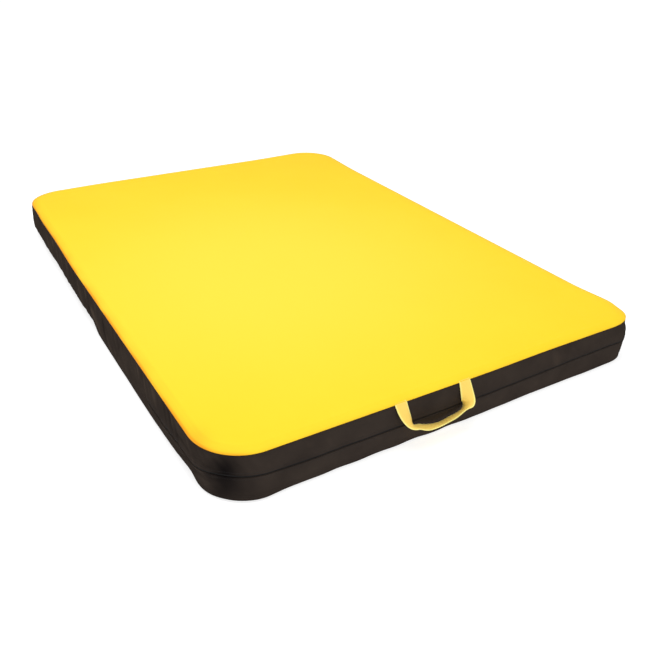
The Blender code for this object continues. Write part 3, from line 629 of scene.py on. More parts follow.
def wall_columns():
    """The wall's columns, once round the seam: places, outward directions and length so far."""
    return outline(*grid_lines(WALL_STEP, 0.010), WALL_CORNER_STEPS)


def zip_share(places):
    """1 where the zip runs, 0 on the rear half, fading where the zip ends on each side."""
    return smooth(-ZIP_END + 0.004, -ZIP_END - 0.008, places[:, 1])


def zip_line(places):
    """The zip's height: level on the right side, drawn up by the cloth's pull at the two front corners."""
    x, y = places[:, 0], places[:, 1]
    left_corner = smooth(-0.33, -0.45, x) * smooth(-0.43, -0.60, y)
    right_corner = smooth(0.15, 0.40, x) * smooth(-0.60, -0.68, y)
    sag = 0.006 * smooth(-0.56, -0.46, y) * (x < 0)
    return ZIP_HEIGHT + 0.0055 * left_corner + 0.005 * right_corner - sag * zip_share(places)


def lower_edge(places):
    """The wall's lower edge: its radius, how far it is tucked in, and how far it rolls out at the front.

    The edge is firm at the front and slack at the back left.
    """
    x, y = places.T
    left = smooth(0.36, 0.48, -x)
    firm = smooth(0.0, -0.10, y)
    slack = left * np.maximum(smooth(-0.05, 0.01, y), 0.8 * hump(y, -0.50, 0.07))
    radius = EDGE_RADIUS - 0.006 * firm + 0.012 * slack
    tuck = 0.006 * left * smooth(-0.05, 0.01, y) + 0.014 * left * smooth(0.40, 0.60, y)
    tuck += 0.007 * left * hump(y, -0.590, 0.055)
    bumps = 0.0018 * ripple(places, (0.045, 0.045), 4.0)
    roll = (0.003 + bumps + 0.004 * hump(x, -0.42, 0.06)) * smooth(-0.55, -0.66, y)
    return radius, tuck, roll


def tucked(height):
    """How much of the lower edge's tuck a height takes part in: all of it at the bottom."""
    return 1 - smooth(0.004, 0.055, height)


def wall_rows():
    """From the top seam down past the zip: height, offset from the bulge and lift of the zip's lips."""
    seam = [(0.0006, -0.0026), (-0.0006, -0.0004), (-0.0016, 0.0008), (-0.0030, 0.0008), (-0.0042, 0.0001)]
    seam += [(-0.0055, 0.0006), (-0.0080, 0.0005)]
    rows = [(SEAM_HEIGHT + lift, offset, 0.0) for lift, offset in seam]
    rows += [(height, 0.0, 0.0) for height in np.linspace(0.0840, 0.0600, 5)]
    lips = [(0.0060, 0.0002), (0.0040, 0.0007), (ZIP_LIP + 0.0008, 0.0011), (ZIP_LIP, 0.0005)]
    lips.append((0.0020, -ZIP_DEPTH))
    rows += [(ZIP_HEIGHT + lift, 0.0, lip) for lift, lip in lips]
    rows += [(ZIP_HEIGHT - lift, 0.0, lip) for lift, lip in lips[::-1]]
    return rows + [(0.0370, 0.0, 0.0), (0.0325, 0.0, 0.0)]


# Height of the first of the lower rows, and the share of the way up from the rounded edge of each
LOWER_WALL = 0.028
LOWER_SHARES = [1.0, 0.75, 0.5, 0.25]
TURN_STEPS = 9
# Lift above the ground and run inwards from the edge of the two rows under the pad
HEM_ROWS = [(0.0004, 0.0020), (0.0030, 0.0040)]


def lower_rows(columns):
    """Height and offset of each row below LOWER_WALL, for every column: straight, round the edge, hem."""
    radius, tuck, roll = lower_edge(columns[0])
    rows = [(radius + (LOWER_WALL - radius) * share, 0 * radius) for share in LOWER_SHARES]
    for step in range(TURN_STEPS + 1):
        angle = math.radians(90) * step / TURN_STEPS
        rows.append((radius * (1 - math.sin(angle)), radius * (math.cos(angle) - 1)))
    settled = []
    for height, offset in rows:
        rolled = roll * hump(height, 0.0040, 0.0035)
        settled.append((height, offset - tuck * tucked(height) + rolled, 0.0))
    for lift, inward in HEM_ROWS:
        settled.append((0 * radius + lift, -radius - inward - tuck, 0.0))
    return settled


# Slanting creases where the long sides slacken at the fold: (y, z) of each end, depth and half width
FOLD_CREASES = [
    ((0.004, 0.052), (-0.047, 0.020), 0.0026, 0.0055),
    ((-0.028, 0.066), (-0.090, 0.030), -0.0016, 0.0080),
    ((-0.106, 0.078), (-0.121, 0.022), 0.0018, 0.0050),
    ((-0.134, 0.060), (-0.160, 0.026), -0.0012, 0.0070),
    ((-0.235, 0.088), (-0.200, 0.030), 0.0010, 0.0060),
    ((0.060, 0.080), (0.030, 0.020), 0.0012, 0.0060),
    ((0.170, 0.085), (0.185, 0.030), 0.0010, 0.0050),
]


# Folds of the left side that run into the front corner, and the pocket there, in the same way, but with
# the run past the end of the straight side in the place of y
CORNER_CREASES = [
    ((-0.0900, 0.030), (-0.0500, 0.022), 0.0012, 0.0040),
    ((-0.0495, 0.021), (-0.0030, 0.043), 0.0019, 0.0040),
    ((-0.0030, 0.043), (0.0460, 0.034), 0.0017, 0.0038),
    ((0.0460, 0.034), (0.0710, 0.038), 0.0014, 0.0038),
    ((0.0060, 0.026), (0.0260, 0.034), 0.0016, 0.0034),
    ((0.0260, 0.034), (0.0630, 0.049), 0.0018, 0.0036),
    ((-0.0700, 0.062), (0.0100, 0.068), 0.0013, 0.0036),
    ((0.0100, 0.068), (0.0560, 0.060), 0.0013, 0.0036),
    ((0.0760, 0.020), (0.0860, 0.082), 0.0010, 0.0180),
]


def creases(along, height, lines):
    """Grooves, or ridges where the depth is negative, beside each line drawn on the wall."""
    deepest = np.zeros(len(along))
    highest = np.zeros(len(along))
    for (s0, z0), (s1, z1), depth, half_width in lines:
        length = math.hypot(s1 - s0, z1 - z0)
        ts, tz = (s1 - s0) / length, (z1 - z0) / length
        on_line = np.clip((along - s0) * ts + (height - z0) * tz, 0, length)
        away = np.hypot(along - s0 - on_line * ts, height - z0 - on_line * tz)
        groove = depth * hump(away, 0, half_width)
        deepest = np.maximum(deepest, groove)
        highest = np.maximum(highest, -groove)
    return highest - deepest


def wrinkles(places, lengths, height):
    """How far the cloth stands off the foam's own bulge at one height, for every column."""
    x, y = places.T
    height = np.broadcast_to(height, len(x))
    below_seam = SEAM_HEIGHT - height
    long_side = smooth(STRAIGHT_X + 0.05, HALF_X, np.abs(x))
    slack = np.sin(np.pi * np.clip(height / SEAM_HEIGHT, 0, 1))
    # Gathers that hang slanting from the top seam, deepest on the long sides
    hang = np.exp(-below_seam / 0.040) * (1 - np.exp(-below_seam / 0.006))
    slanted = np.column_stack([lengths - 0.55 * below_seam, height])
    shift = 0.0036 * hang * (0.25 + 0.75 * long_side) * ripple(slanted, (0.013, 0.060), 2.0)
    # Slow waves of a loose cover, and smaller dents
    here = np.column_stack([lengths, height])
    shift += 0.0013 * slack * ripple(here, (0.085, 0.055), 6.0)
    shift += 0.0008 * slack * ripple(here, (0.030, 0.040), 11.0)
    # The right side's creases lie a little nearer to the front than the left side's
    moved_on = np.where(x < 0, 0.0, 0.017)
    shift += long_side * creases(y + moved_on, height, FOLD_CREASES)
    # Each corner is drawn in below the seam, where the band turns, and stands out a little nearer the long
    # side;
    # the relief turns these into painted shade and painted highlight on the wall
    turn = np.degrees(np.arctan2(np.abs(y) - STRAIGHT_Y, np.abs(x) - STRAIGHT_X))
    corner = (np.abs(x) > STRAIGHT_X) & (np.abs(y) > STRAIGHT_Y)
    shift -= corner * 0.0017 * slack * hump(turn, 50, 16)
    shift += corner * 0.0012 * slack * hump(turn, 24, 10)
    front_left = (x < -STRAIGHT_X) & (y < 0)
    past_side = np.where(corner, CORNER_RADIUS * np.radians(turn), -STRAIGHT_Y - y)
    shift += front_left * creases(past_side, height, CORNER_CREASES)
    return shift


CORNER_SWELL = 0.0040


def corner_swell(places, height):
    """How far the wall of the front right corner swells below its seam, at one height for every column."""
    x, y = places.T
    turn = np.arctan2(np.abs(y) - STRAIGHT_Y, np.abs(x) - STRAIGHT_X)
    rounded = smooth(0.35, 0.80, turn) * smooth(1.57, 1.20, turn) * (x > STRAIGHT_X) * (y < -STRAIGHT_Y)
    return CORNER_SWELL * rounded * smooth(0.090, 0.060, height)


def hem_lift(places):
    """The lower seam rises a little between the corners, and is drawn up where the sides slacken."""
    bumps = ripple(places, (0.07, 0.07), 9.0)
    return 0.0030 * np.clip(bumps, 0, 1) + 0.0045 * hump(places[:, 1], -0.004, 0.012)


# Below this height the waves of the wall die out towards the hem
WAVES_END = 0.014


def wall_row(columns, height, offset, lip=0.0):
    """One row of the wall's outer surface, a point for every column."""
    places, outward, run = columns
    x, y = places.T
    waves = wrinkles(places, run[:-1], height) + corner_swell(places, height)
    pull = smooth(0.022, 0.040, height) * (1 - smooth(0.060, 0.088, height))
    z = height + (zip_line(places) - ZIP_HEIGHT) * pull
    low = 1 - np.clip(height / WAVES_END, 0, 1)
    z = z + hem_lift(places) * low
    beside = np.minimum(np.abs(x - CLOSURE_X), np.abs(x + CLOSURE_X))
    notched = (1 - smooth(NOTCH_HALF, 2 * NOTCH_HALF, beside)) * (y > STRAIGHT_Y)
    z = z + notched * np.maximum(NOTCH_HEIGHT - z, 0)
    out = wall_bulge(height) + offset + lip * zip_share(places) + waves * (1 - low)
    return settle(places + outward * out[:, None], z)


def side_wall():
    """The black band round the pad: wrinkles, the slot of the zip, the rolled lower edge and the hem."""
    columns = wall_columns()
    places, _outward, run = columns
    rows = wall_rows() + lower_rows(columns)
    points = np.concatenate([wall_row(columns, *row) for row in rows])
    faces, corners = rows_to_faces(len(rows), len(places), False, True)
    drop = lengths_along([(np.mean(height), np.mean(offset)) for height, offset, _lip in rows])
    uv = [(run[c], -drop[r]) for r, c in corners]
    made = piece("side_wall", points, faces, uv, SIDE_POLYESTER)
    # Painted shade on the front left corner, taken off the relief that colours the wall
    painted_corner_shade = 0.0013 * hump(places[:, 0], -0.470, 0.050) * hump(places[:, 1], -0.655, 0.050)
    painted_relief = [wrinkles(places, run[:-1], height) - painted_corner_shade for height, _offset, _lip in rows]
    # The relief gives the wall painted shade in its hollows and painted highlight on its ridges
    keep_values(made, "relief", np.concatenate(painted_relief))
    made.data.flip_normals()
    thicken(made, WALL_THICKNESS)
    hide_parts("upper_side_band_front", "lower_side_band_front", "side_band_rear")
    bend_at_fold(made)


# Zip


COIL_PITCH = 0.0018
COIL_HALF = 0.0019


def front_path(step):
    """From the zip's end on the left side, round the front, to its end on the right side."""
    straight = STRAIGHT_Y - ZIP_END
    quarter = math.pi / 2 * CORNER_RADIUS
    ends = np.cumsum([straight, quarter, 2 * STRAIGHT_X, quarter, straight])
    places = []
    outward = []
    for s in np.linspace(0, ends[-1], round(ends[-1] / step) + 1):
        if s < ends[0]:
            place, direction = (-HALF_X, -ZIP_END - s), (-1, 0)
        elif s < ends[1]:
            place, direction = on_corner(-1, -1, math.pi + (s - ends[0]) / CORNER_RADIUS)
        elif s < ends[2]:
            place, direction = (-STRAIGHT_X + s - ends[1], -HALF_Y), (0, -1)
        elif s < ends[3]:
            place, direction = on_corner(1, -1, 1.5 * math.pi + (s - ends[2]) / CORNER_RADIUS)
        else:
            place, direction = (HALF_X, -STRAIGHT_Y + s - ends[3]), (1, 0)
        places.append(place)
        outward.append(direction)
    return np.array(places), np.array(outward, float)


def along_zip(name, profile, step, finish, ridge=None):
    """A closed section, as (offset, height from the zip's line), carried along the zip."""
    places, outward = front_path(step)
    columns, _directions, run = wall_columns()
    nearest = np.array([np.argmin(np.hypot(*(columns - place).T)) for place in places])
    waves = (wrinkles(columns, run[:-1], ZIP_HEIGHT) + corner_swell(columns, ZIP_HEIGHT))[nearest]
    # The zip is stiffer than the cloth and evens out its smallest waves
    evened = 9
    waves = np.convolve(np.pad(waves, evened // 2, mode="edge"), np.ones(evened) / evened, mode="valid")
    level = zip_line(places)
    rows = []
    for k, (offset, height) in enumerate(profile):
        lift = ridge(np.arange(len(places)) * step, k) if ridge else 0
        out = SIDE_BULGE + waves + offset + lift
        rows.append(settle(places + outward * out[:, None], level + height))
    faces, corners = rows_to_faces(len(profile), len(places), True, False)
    first = [k * len(places) for k in range(len(profile))]
    last = [k * len(places) + len(places) - 1 for k in range(len(profile))]
    faces += [first[::-1], last]
    corners += [(0, 0)] * (2 * len(profile))
    uv = [(c * step, r * 0.001) for r, c in corners]
    made = piece(name, np.concatenate(rows), faces, uv, finish)
    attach(made, "front_half")
    return made


def zip_tape_and_coil():
    """The woven tape at the bottom of the zip's slot, and the coil with its ridges on it."""
    tape = [(-0.0022, -0.0023), (-0.0016, -0.0023), (-0.0016, 0.0023), (-0.0022, 0.0023)]
    made = along_zip("zip_tape_woven", tape, 0.004, ZIP_TAPE_WEAVE)
    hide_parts("zip_tape")

    def ridge(along, k):
        crest = 0.5 - 0.5 * np.cos(2 * np.pi * along / COIL_PITCH)
        return -0.0004 * crest * (k not in (0, 5))

    coil = [(-0.0016, -COIL_HALF)]
    for degrees in (25, 65, 115, 155):
        angle = math.radians(degrees)
        coil.append((-0.0016 + 0.0013 * math.sin(angle), -COIL_HALF * math.cos(angle)))
    coil.append((-0.0016, COIL_HALF))
    made = along_zip("zip_coil_teeth", coil, COIL_PITCH / 4, ZIP_NYLON, ridge)
    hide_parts("zip_coil")


# Shoulder straps and the hollows that the harness presses into the underside


# Way from a hook's bar to its tip, room beside the webbing in its hollow, and half the width of a hollow
HOOK_REACH = 0.0289
HOLLOW_MARGIN = 0.003
HOLLOW_HALF = 0.0195
# How far the hollows reach past the end of the padding, past a loop's root and past its eye, for the hook
PAST_PADDING = 0.0057
PAST_ROOT = 0.0012
PAST_EYE = 0.026
LOOP_HALF = STRAP_WIDTH / 2 + HOLLOW_MARGIN
# Along a shoulder strap: the buckle's first and last bar, the hook's bar, and the root of the hook's loop
PADDING_END = SHOULDER_TOP + SHOULDER_LENGTH
FIRST_BAR = PADDING_END + 0.0303
LAST_BAR = FIRST_BAR + 0.023
HOOK_BAR = LAST_BAR + 0.075
SHOULDER_LOOP = HOOK_BAR + HOOK_REACH + 0.0056 + LOOP_LENGTH
BASE_THICKNESS = 0.0012


def shoulder_line(x, turn):
    """Y of a shoulder strap's middle line; turn is +1 for the strap nearer the fold, -1 for the other."""
    share = smooth(SHOULDER_TOP, PADDING_END, x)
    spread = SHOULDER_SPREAD_TOP + (SHOULDER_SPREAD_LOW - SHOULDER_SPREAD_TOP) * share
    return SHOULDER_CENTRE + turn * spread / 2


def padding_half(x):
    """Half width of the padding: drawn in at its sewn end and again where it meets the webbing."""
    share = (np.asarray(x) - SHOULDER_TOP) / SHOULDER_LENGTH
    sewn = 0.75 + 0.25 * smooth(0, 0.25, share)
    lower = 1 - 0.42 * smooth(0.65, 1, share)
    return SHOULDER_WIDTH / 2 * sewn * lower


def past_rectangle(x, y, x_low, x_high, y_low, y_high):
    """Distance outside a rectangle, 0 within it."""
    dx = np.maximum(np.maximum(x_low - x, x - x_high), 0)
    dy = np.maximum(np.maximum(y_low - y, y - y_high), 0)
    return np.hypot(dx, dy)


def hollow_depth(plan):
    """How high the base cloth is pressed up by straps, hooks and buckles, with soft shoulders all round."""
    x, y = plan.T
    away = np.full(len(plan), 1.0)
    for side in (-1, 1):
        cx = side * CLOSURE_X
        strap_end = CLOSURE_BAR - HOOK_REACH - HOLLOW_MARGIN
        strap = past_rectangle(x, y, cx - HOLLOW_HALF, cx + HOLLOW_HALF, strap_end, 1.0)
        root = LOOP_EYE + LOOP_LENGTH
        loop = past_rectangle(x, y, cx - LOOP_HALF, cx + LOOP_HALF, LOOP_EYE - PAST_EYE, root + PAST_ROOT)
        held = np.clip(x, SHOULDER_TOP, SHOULDER_LOOP)
        half = np.maximum(padding_half(held) + HOLLOW_MARGIN, HOLLOW_HALF)
        beside = np.maximum(np.abs(y - shoulder_line(held, side)) - half, 0)
        beyond = np.maximum(np.maximum(SHOULDER_TOP - PAST_PADDING - x, x - SHOULDER_LOOP - PAST_ROOT), 0)
        for gap in (strap, loop, np.hypot(beside, beyond)):
            away = np.minimum(away, gap)
    slope = 0.011 + 0.006 * ripple(plan, (0.06, 0.05), 14.0)
    return (HOLLOW_DEPTH + 0.0002) * (1 - smooth(0.0, 1.0, away / slope))


# Base cover, a single cloth over both halves


BASE_STEP = 0.006


def base_cover():
    """The black cloth underneath, pressed up where the harness lies."""
    x_lines, y_lines = grid_lines(BASE_STEP, 0.006)
    profile = [(-0.0152, 0.0038), (-0.0150, 0.0014), (-0.0158, 0.0003), (-0.0185, 0.0), (-0.0240, 0.0)]
    profile += [(offset, 0.0) for offset in (-0.031, -0.039, -0.048, -0.058, -0.068, -0.078, -0.088)]
    plan, depth, lift, faces = sheet(x_lines, y_lines, profile)
    lift += hem_lift(plan) * smooth(-0.035, -0.016, depth)
    lift += hollow_depth(plan)
    # Its edge follows the hem of the wall
    radius, tuck, _roll = lower_edge(plan)
    shift = (EDGE_RADIUS - radius - tuck) * smooth(-0.088, -0.018, depth)
    points = settle(plan + outward_at(*plan.T) * shift[:, None], lift)
    uv = [plan[i] for face in faces for i in face]
    made = piece("base_cover", points, faces, uv, BASE_NYLON)
    thicken(made, -BASE_THICKNESS)
    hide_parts("base_panel_front", "base_panel_rear")
    bend_at_fold(made)


# Foam blocks inside the covers


# Gaps from the foam to the outline, the wall's lower edge, both cloths and the fold, and between layers
FOAM_INSET = 0.005
BEHIND_WALL = 0.0030
UNDER_LANDING = 0.0035
ABOVE_BASE = 0.0045
FROM_FOLD = 0.0005
LAYER_GAP = 0.0006
BASE_FOAM_TOP = 0.0165
TOP_FOAM_BASE = 0.0865


def crown_height(x, y):
    """Height of the foam under the landing face: full in the middle, rolled over towards the seam."""
    share = np.clip(1 - depth_inside(x, y) / CROWN_RUN, 0, 1)
    return SEAM_HEIGHT - UNDER_LANDING + CROWN_RISE * np.sqrt(1 - share * share)


def kept_inside(points):
    """Foam drawn in from the wall's rounded lower edge, less and less towards the middle."""
    x, y, height = points.T
    radius, tuck, _roll = lower_edge(points[:, :2])
    below = np.clip(radius - height, 0, radius)
    face = np.sqrt(radius * radius - below * below) - radius - tuck * tucked(height)
    need = np.maximum(BEHIND_WALL - face - FOAM_INSET, 0)
    shift = need * (1 - smooth(FOAM_INSET, FOAM_INSET + 0.07, depth_inside(x, y)))
    return settle(points[:, :2] - outward_at(x, y) * shift[:, None], height)


def under_base(x, y):
    """Underside of the foam above the base cloth, which is lifted along its hem."""
    plan = np.column_stack([x, y])
    hem = hem_lift(plan) * smooth(0.050, 0.020, depth_inside(x, y))
    return ABOVE_BASE + hollow_depth(plan) + hem


def foam_block(name, side, step, low, high, finish, slot, node):
    """A slab of one half's outline between two heights; each height is a number or depends on the place."""
    radius = CORNER_RADIUS - FOAM_INSET
    round_part = [STRAIGHT_X + radius * math.sin(math.radians(a)) for a in range(9, 91, 9)]
    xs = np.array([-x for x in round_part[::-1]] + spaced(-STRAIGHT_X, STRAIGHT_X, step) + round_part)
    past = np.maximum(np.abs(xs) - STRAIGHT_X, 0)
    edge = STRAIGHT_Y + np.sqrt(np.maximum(radius * radius - past * past, 0))
    shares = np.array(spaced(0, HALF_Y, step, 0, 0.01 - FOLD_FROM, FOLD_STEP)) / HALF_Y
    x = np.repeat(xs, len(shares))
    y = side * (FROM_FOLD + (np.repeat(edge, len(shares)) - FROM_FOLD) * np.tile(shares, len(xs)))
    levels = [np.broadcast_to(level(x, y) if callable(level) else level, len(x)) for level in (low, high)]
    points = kept_inside(np.concatenate([np.column_stack([x, y, level]) for level in levels]))
    count = len(x)
    top, _corners = rows_to_faces(len(xs), len(shares), False, False)
    number = np.arange(count).reshape(len(xs), len(shares))
    border = np.concatenate([number[0], number[1:, -1], number[-1, -2::-1], number[-2:0:-1, 0]]).tolist()
    faces = [[i + count for i in face[::-1]] for face in top] + top
    faces += [[a + count, b + count, b, a] for a, b in zip(border, border[1:] + border[:1])]
    if side == FRONT:
        faces = [face[::-1] for face in faces]
    uv = [points[i][:2] for face in faces for i in face]
    made = piece(name, points, faces, uv, finish)
    made.data.set_sharp_from_angle(angle=math.radians(40))
    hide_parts(node)
    if side == FRONT:
        bend_at_fold(made)
    else:
        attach(made, "rear_half")


def foam_layers():
    """Firm base, soft core and firm top of each half: step of the mesh, heights, foam and slot, which is not
    used.
    """
    layers = {
        "base": (0.008, under_base, BASE_FOAM_TOP - LAYER_GAP, CLOSED_CELL, "closed_cell_foam"),
        "core": (0.030, BASE_FOAM_TOP, TOP_FOAM_BASE - LAYER_GAP, OPEN_CELL, "open_cell_foam"),
        "top": (0.015, TOP_FOAM_BASE, crown_height, CLOSED_CELL, "closed_cell_foam"),
    }
    for side, ending in ((FRONT, "front"), (REAR, "rear")):
        for layer, shape in layers.items():
            foam_block(f"foam_{layer}_{ending}", side, *shape, f"{layer}_foam_{ending}")


# Webbing: carry handles, straps, tabs and loops


def ribbon(name, centres, widths, width, thickness, finish):
    """Webbing swept along its middle line, with rounded selvedges; UV runs across and along, in metres."""
    centres = np.asarray(centres, float)
    tangents = np.gradient(centres, axis=0)
    run = lengths_along(centres)
    half = thickness / 2
    flat = width / 2 - half
    section = [(-flat, -half), (-0.5 * flat, -half), (0.5 * flat, -half), (flat, -half)]
    section += [(flat + 0.7 * half, -0.7 * half), (flat + half, 0), (flat + 0.7 * half, 0.7 * half)]
    section += [(-a, -b) for a, b in section]
    points = []
    for place, across, along in zip(centres, np.asarray(widths, float), tangents):
        along = along / np.linalg.norm(along)
        across = across - along * across.dot(along)
        across = across / np.linalg.norm(across)
        through = np.cross(across, along)
        points += [place + across * a + through * b for a, b in section]
    faces, corners = rows_to_faces(len(centres), len(section), False, True, caps=True)
    uv = [(width / 2 + section[c % len(section)][0], run[r]) for r, c in corners]
    made = piece(name, points, faces, uv, finish)
    made.data.flip_normals()
    return made


# Across, down, out of each station of the handle, as shares, and where its width points
HANDLE_STATIONS = [
    (0.00, 0.00, 0.00, (1.00, 0.00, 0.00)),
    (0.02, 0.20, 0.27, (0.98, -0.13, 0.00)),
    (0.055, 0.40, 0.53, (0.93, -0.33, -0.10)),
    (0.10, 0.56, 0.79, (0.82, -0.45, -0.32)),
    (0.155, 0.67, 1.01, (0.62, -0.62, -0.46)),
    (0.255, 0.75, 1.13, (0.45, -0.86, -0.26)),
    (0.385, 0.83, 1.17, (0.30, -0.92, -0.28)),
    (0.575, 0.865, 1.16, (0.20, -0.89, -0.46)),
    (0.745, 0.81, 1.14, (0.10, -0.88, -0.48)),
    (0.865, 0.745, 1.10, (0.00, -0.78, -0.62)),
    (0.955, 0.67, 1.02, (-0.14, -0.70, -0.64)),
    (1.005, 0.53, 0.86, (-0.58, -0.50, -0.40)),
    (1.008, 0.30, 0.46, (-0.95, -0.28, -0.06)),
    (1.00, 0.00, 0.00, (-1.00, 0.00, 0.00)),
]
HANDLE_STEPS = 12
HANDLE_GAP = 0.0003


def smooth_between(values, i, share):
    """Catmull-Rom curve between value i and the next."""
    last = len(values) - 1
    before, here, after, beyond = (values[min(max(k, 0), last)] for k in range(i - 1, i + 3))
    slope_here = (after - before) / 2
    slope_after = (beyond - here) / 2
    square = share * share
    cube = square * share
    start = here * (2 * cube - 3 * square + 1) + slope_here * (cube - 2 * square + share)
    return start + after * (3 * square - 2 * cube) + slope_after * (cube - square)


def carry_handle(ending, side):
    """Twisted webbing whose ends run up into the top seam."""
    axis_offset = HANDLE_THICKNESS / 2 + HANDLE_GAP
    centres = []
    widths = []
    for across, down, reach, width in HANDLE_STATIONS:
        height = SEAM_HEIGHT - HANDLE_DROP * down
        offset = wall_bulge(height) + axis_offset + HANDLE_REACH * reach
        x = HANDLE_LEFT + (HANDLE_RIGHT - HANDLE_LEFT) * across
        centres.append(np.array([x, side * (HALF_Y + offset), height]))
        widths.append(np.array([width[0], side * width[1], width[2]]))
    steps = [(i, k / HANDLE_STEPS) for i in range(len(centres) - 1) for k in range(HANDLE_STEPS)]
    path = [smooth_between(centres, *step) for step in steps] + [centres[-1]]
    directions = [smooth_between(widths, *step) for step in steps] + [widths[-1]]
    # The last few millimetres turn in under the edge of the landing face
    for inward, rise in ((0.0008, 0.0008), (0.0030, 0.0012), (0.0060, 0.0012)):
        turned_in = np.array([0, -side * inward, rise])
        path = [centres[0] + turned_in, *path, centres[-1] + turned_in]
        directions = [widths[0], *directions, widths[-1]]
    name = "handle_webbing_" + ending
    made = ribbon(name, path, directions, HANDLE_WIDTH, HANDLE_THICKNESS, HANDLE_WEBBING)
    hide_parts("carry_handle_" + ending)
    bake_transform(made)


# Half the distance between the middles of two plies that lie on each other
PLY = STRAP_THICKNESS / 2 + 0.00005
# Radius of the webbing's middle line round a hook's eye and round a buckle's bar
EYE_LINE = 0.0020
BAR_LINE = 0.0030
# Length of the opening round a bar, in radii
EYE_REACH = 3.2
UNDER_STRAP = HARNESS_HEIGHT - PLY - STRAP_THICKNESS / 2
LOOP_EYE_RADIUS = 0.0026
LOOP_LEVEL = HOLLOW_DEPTH - 0.0003 - LOOP_EYE_RADIUS
TAB_OVERLAP = 0.006
# Length of the ply that is sewn back at each end
CLOSURE_BACK = 0.024
BUCKLE_BACK = 0.012
HOOK_BACK = 0.020
# Each box of stitches: way from the bar, the padding or the loop's root to its middle, and half its length
CLOSURE_BOX = (0.019, 0.009)
TAIL_BOX = (-0.017, 0.007)
TAB_BOX = (0.0075, 0.005)
LOOP_BOX = (0.0075, 0.005)


def eye_line(radius, level):
    """Once round a bar at the origin and off along the first axis, from the upper ply to the lower one."""
    reach = EYE_REACH * radius
    near = radius * math.cos(math.radians(75))
    rise = radius * math.sin(math.radians(75))
    upper = []
    lower = []
    for share in np.linspace(0, 1, 7)[:-1]:
        closer = share * share * (3 - 2 * share)
        for ply, sign in ((upper, 1), (lower, -1)):
            start = level + sign * PLY
            ply.append((reach + (near - reach) * share, start + (sign * rise - start) * closer))
    turn = [math.radians(degrees) for degrees in range(75, 286, 15)]
    return upper + [(radius * math.cos(a), radius * math.sin(a)) for a in turn] + lower[::-1]


def strap_line(length, start, end, level=0.0):
    """A strap's middle line: each end is bare or (radius round a bar, length of the ply sewn back)."""
    if start:
        radius, back = start
        eye = EYE_REACH * radius
        line = [(eye + back, level - PLY), (eye + back / 2, level - PLY), *eye_line(radius, level)[::-1]]
    else:
        line = [(0.0, level + PLY)]
    radius, back = end
    last = length - EYE_REACH * radius
    line += [(x, level + PLY) for x in np.linspace(line[-1][0], last, 12)[1:-1]]
    line += [(length - a, h) for a, h in eye_line(radius, level)]
    return line + [(last - back / 2, level - PLY), (last - back, level - PLY)]


def strap(name, place, along, line, node, body):
    """Black webbing along a line in the plane of one direction and up."""
    place, along = np.array(place), np.array([*along, 0.0])
    across = np.array([along[1], -along[0], 0.0])
    centres = [place + along * a + np.array([0, 0, h]) for a, h in line]
    widths = [across] * len(line)
    made = ribbon(name, centres, widths, STRAP_WIDTH, STRAP_THICKNESS, BLACK_WEBBING)
    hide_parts(node)
    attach(made, body)


# Pitch of the stitches, length of each and radius of their thread
SEAM_STITCH = (0.0042, 0.0028, 0.0004)
STRAP_STITCH = (0.0032, 0.0025, 0.0003)
BOX_MARGIN = 0.003


def dashes(name, line, normals, stitch, closed=False):
    """A row of stitches along a line: short, pointed lengths of thread half sunk in the cloth."""
    pitch, length, radius = stitch
    line = np.asarray(line, float)
    normals = np.asarray(normals, float)
    if closed:
        line = np.concatenate([line, line[:1]])
        normals = np.concatenate([normals, normals[:1]])
    run = lengths_along(line)
    starts = (np.arange(max(1, int(run[-1] / pitch))) + 0.15) * pitch

    def at(values, s):
        return np.column_stack([np.interp(s, run, values[:, k]) for k in range(3)])

    first, last, up = at(line, starts), at(line, starts + length), at(normals, starts + length / 2)
    along = last - first
    along /= np.linalg.norm(along, axis=1)[:, None]
    up -= along * np.sum(up * along, axis=1)[:, None]
    up /= np.linalg.norm(up, axis=1)[:, None]
    side = np.cross(along, up)
    shape = [(0.0, 0, -0.3)] + [(a, *b) for a in (0.22, 0.78) for b in ((1, 0), (0, 1), (-1, 0), (0, -1))]
    shape.append((1.0, 0, -0.3))
    points = []
    for a, b, c in shape:
        points.append(first + (last - first) * a + (side * b + up * c) * radius)
    points = np.stack(points, axis=1).reshape(-1, 3)
    solid = [(0, 1, 2), (0, 2, 3), (0, 3, 4), (0, 4, 1), (9, 6, 5), (9, 7, 6), (9, 8, 7), (9, 5, 8)]
    solid += [(1, 5, 6, 2), (2, 6, 7, 3), (3, 7, 8, 4), (4, 8, 5, 1)]
    faces = [[10 * k + i for i in face] for k in range(len(starts)) for face in solid]
    uv = [(0, 0)] * sum(len(face) for face in faces)
    return piece(name, points, faces, uv, BLACK_THREAD)


def box_and_cross(name, root, along, box, body):
    """The square and its diagonals that hold a folded strap.

    The box gives their way from the root to their middle, and half their length.
    """
    away, half_length = box
    along = np.array([*along, 0.0])
    across = np.array([along[1], -along[0], 0.0])
    centre = np.array(root) + along * away
    corners = [(-1, -1), (1, -1), (1, 1), (-1, 1), (-1, -1), (1, 1), (1, -1), (-1, 1)]
    half_width = STRAP_WIDTH / 2 - BOX_MARGIN
    line = []
    for (a0, b0), (a1, b1) in zip(corners, corners[1:]):
        for share in np.linspace(0, 1, 6)[:-1]:
            a = (a0 + (a1 - a0) * share) * half_length
            b = (b0 + (b1 - b0) * share) * half_width
            line.append(centre + along * a + across * b)
    made = dashes(name, line, [(0, 0, -1)] * len(line), STRAP_STITCH)
    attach(made, body)


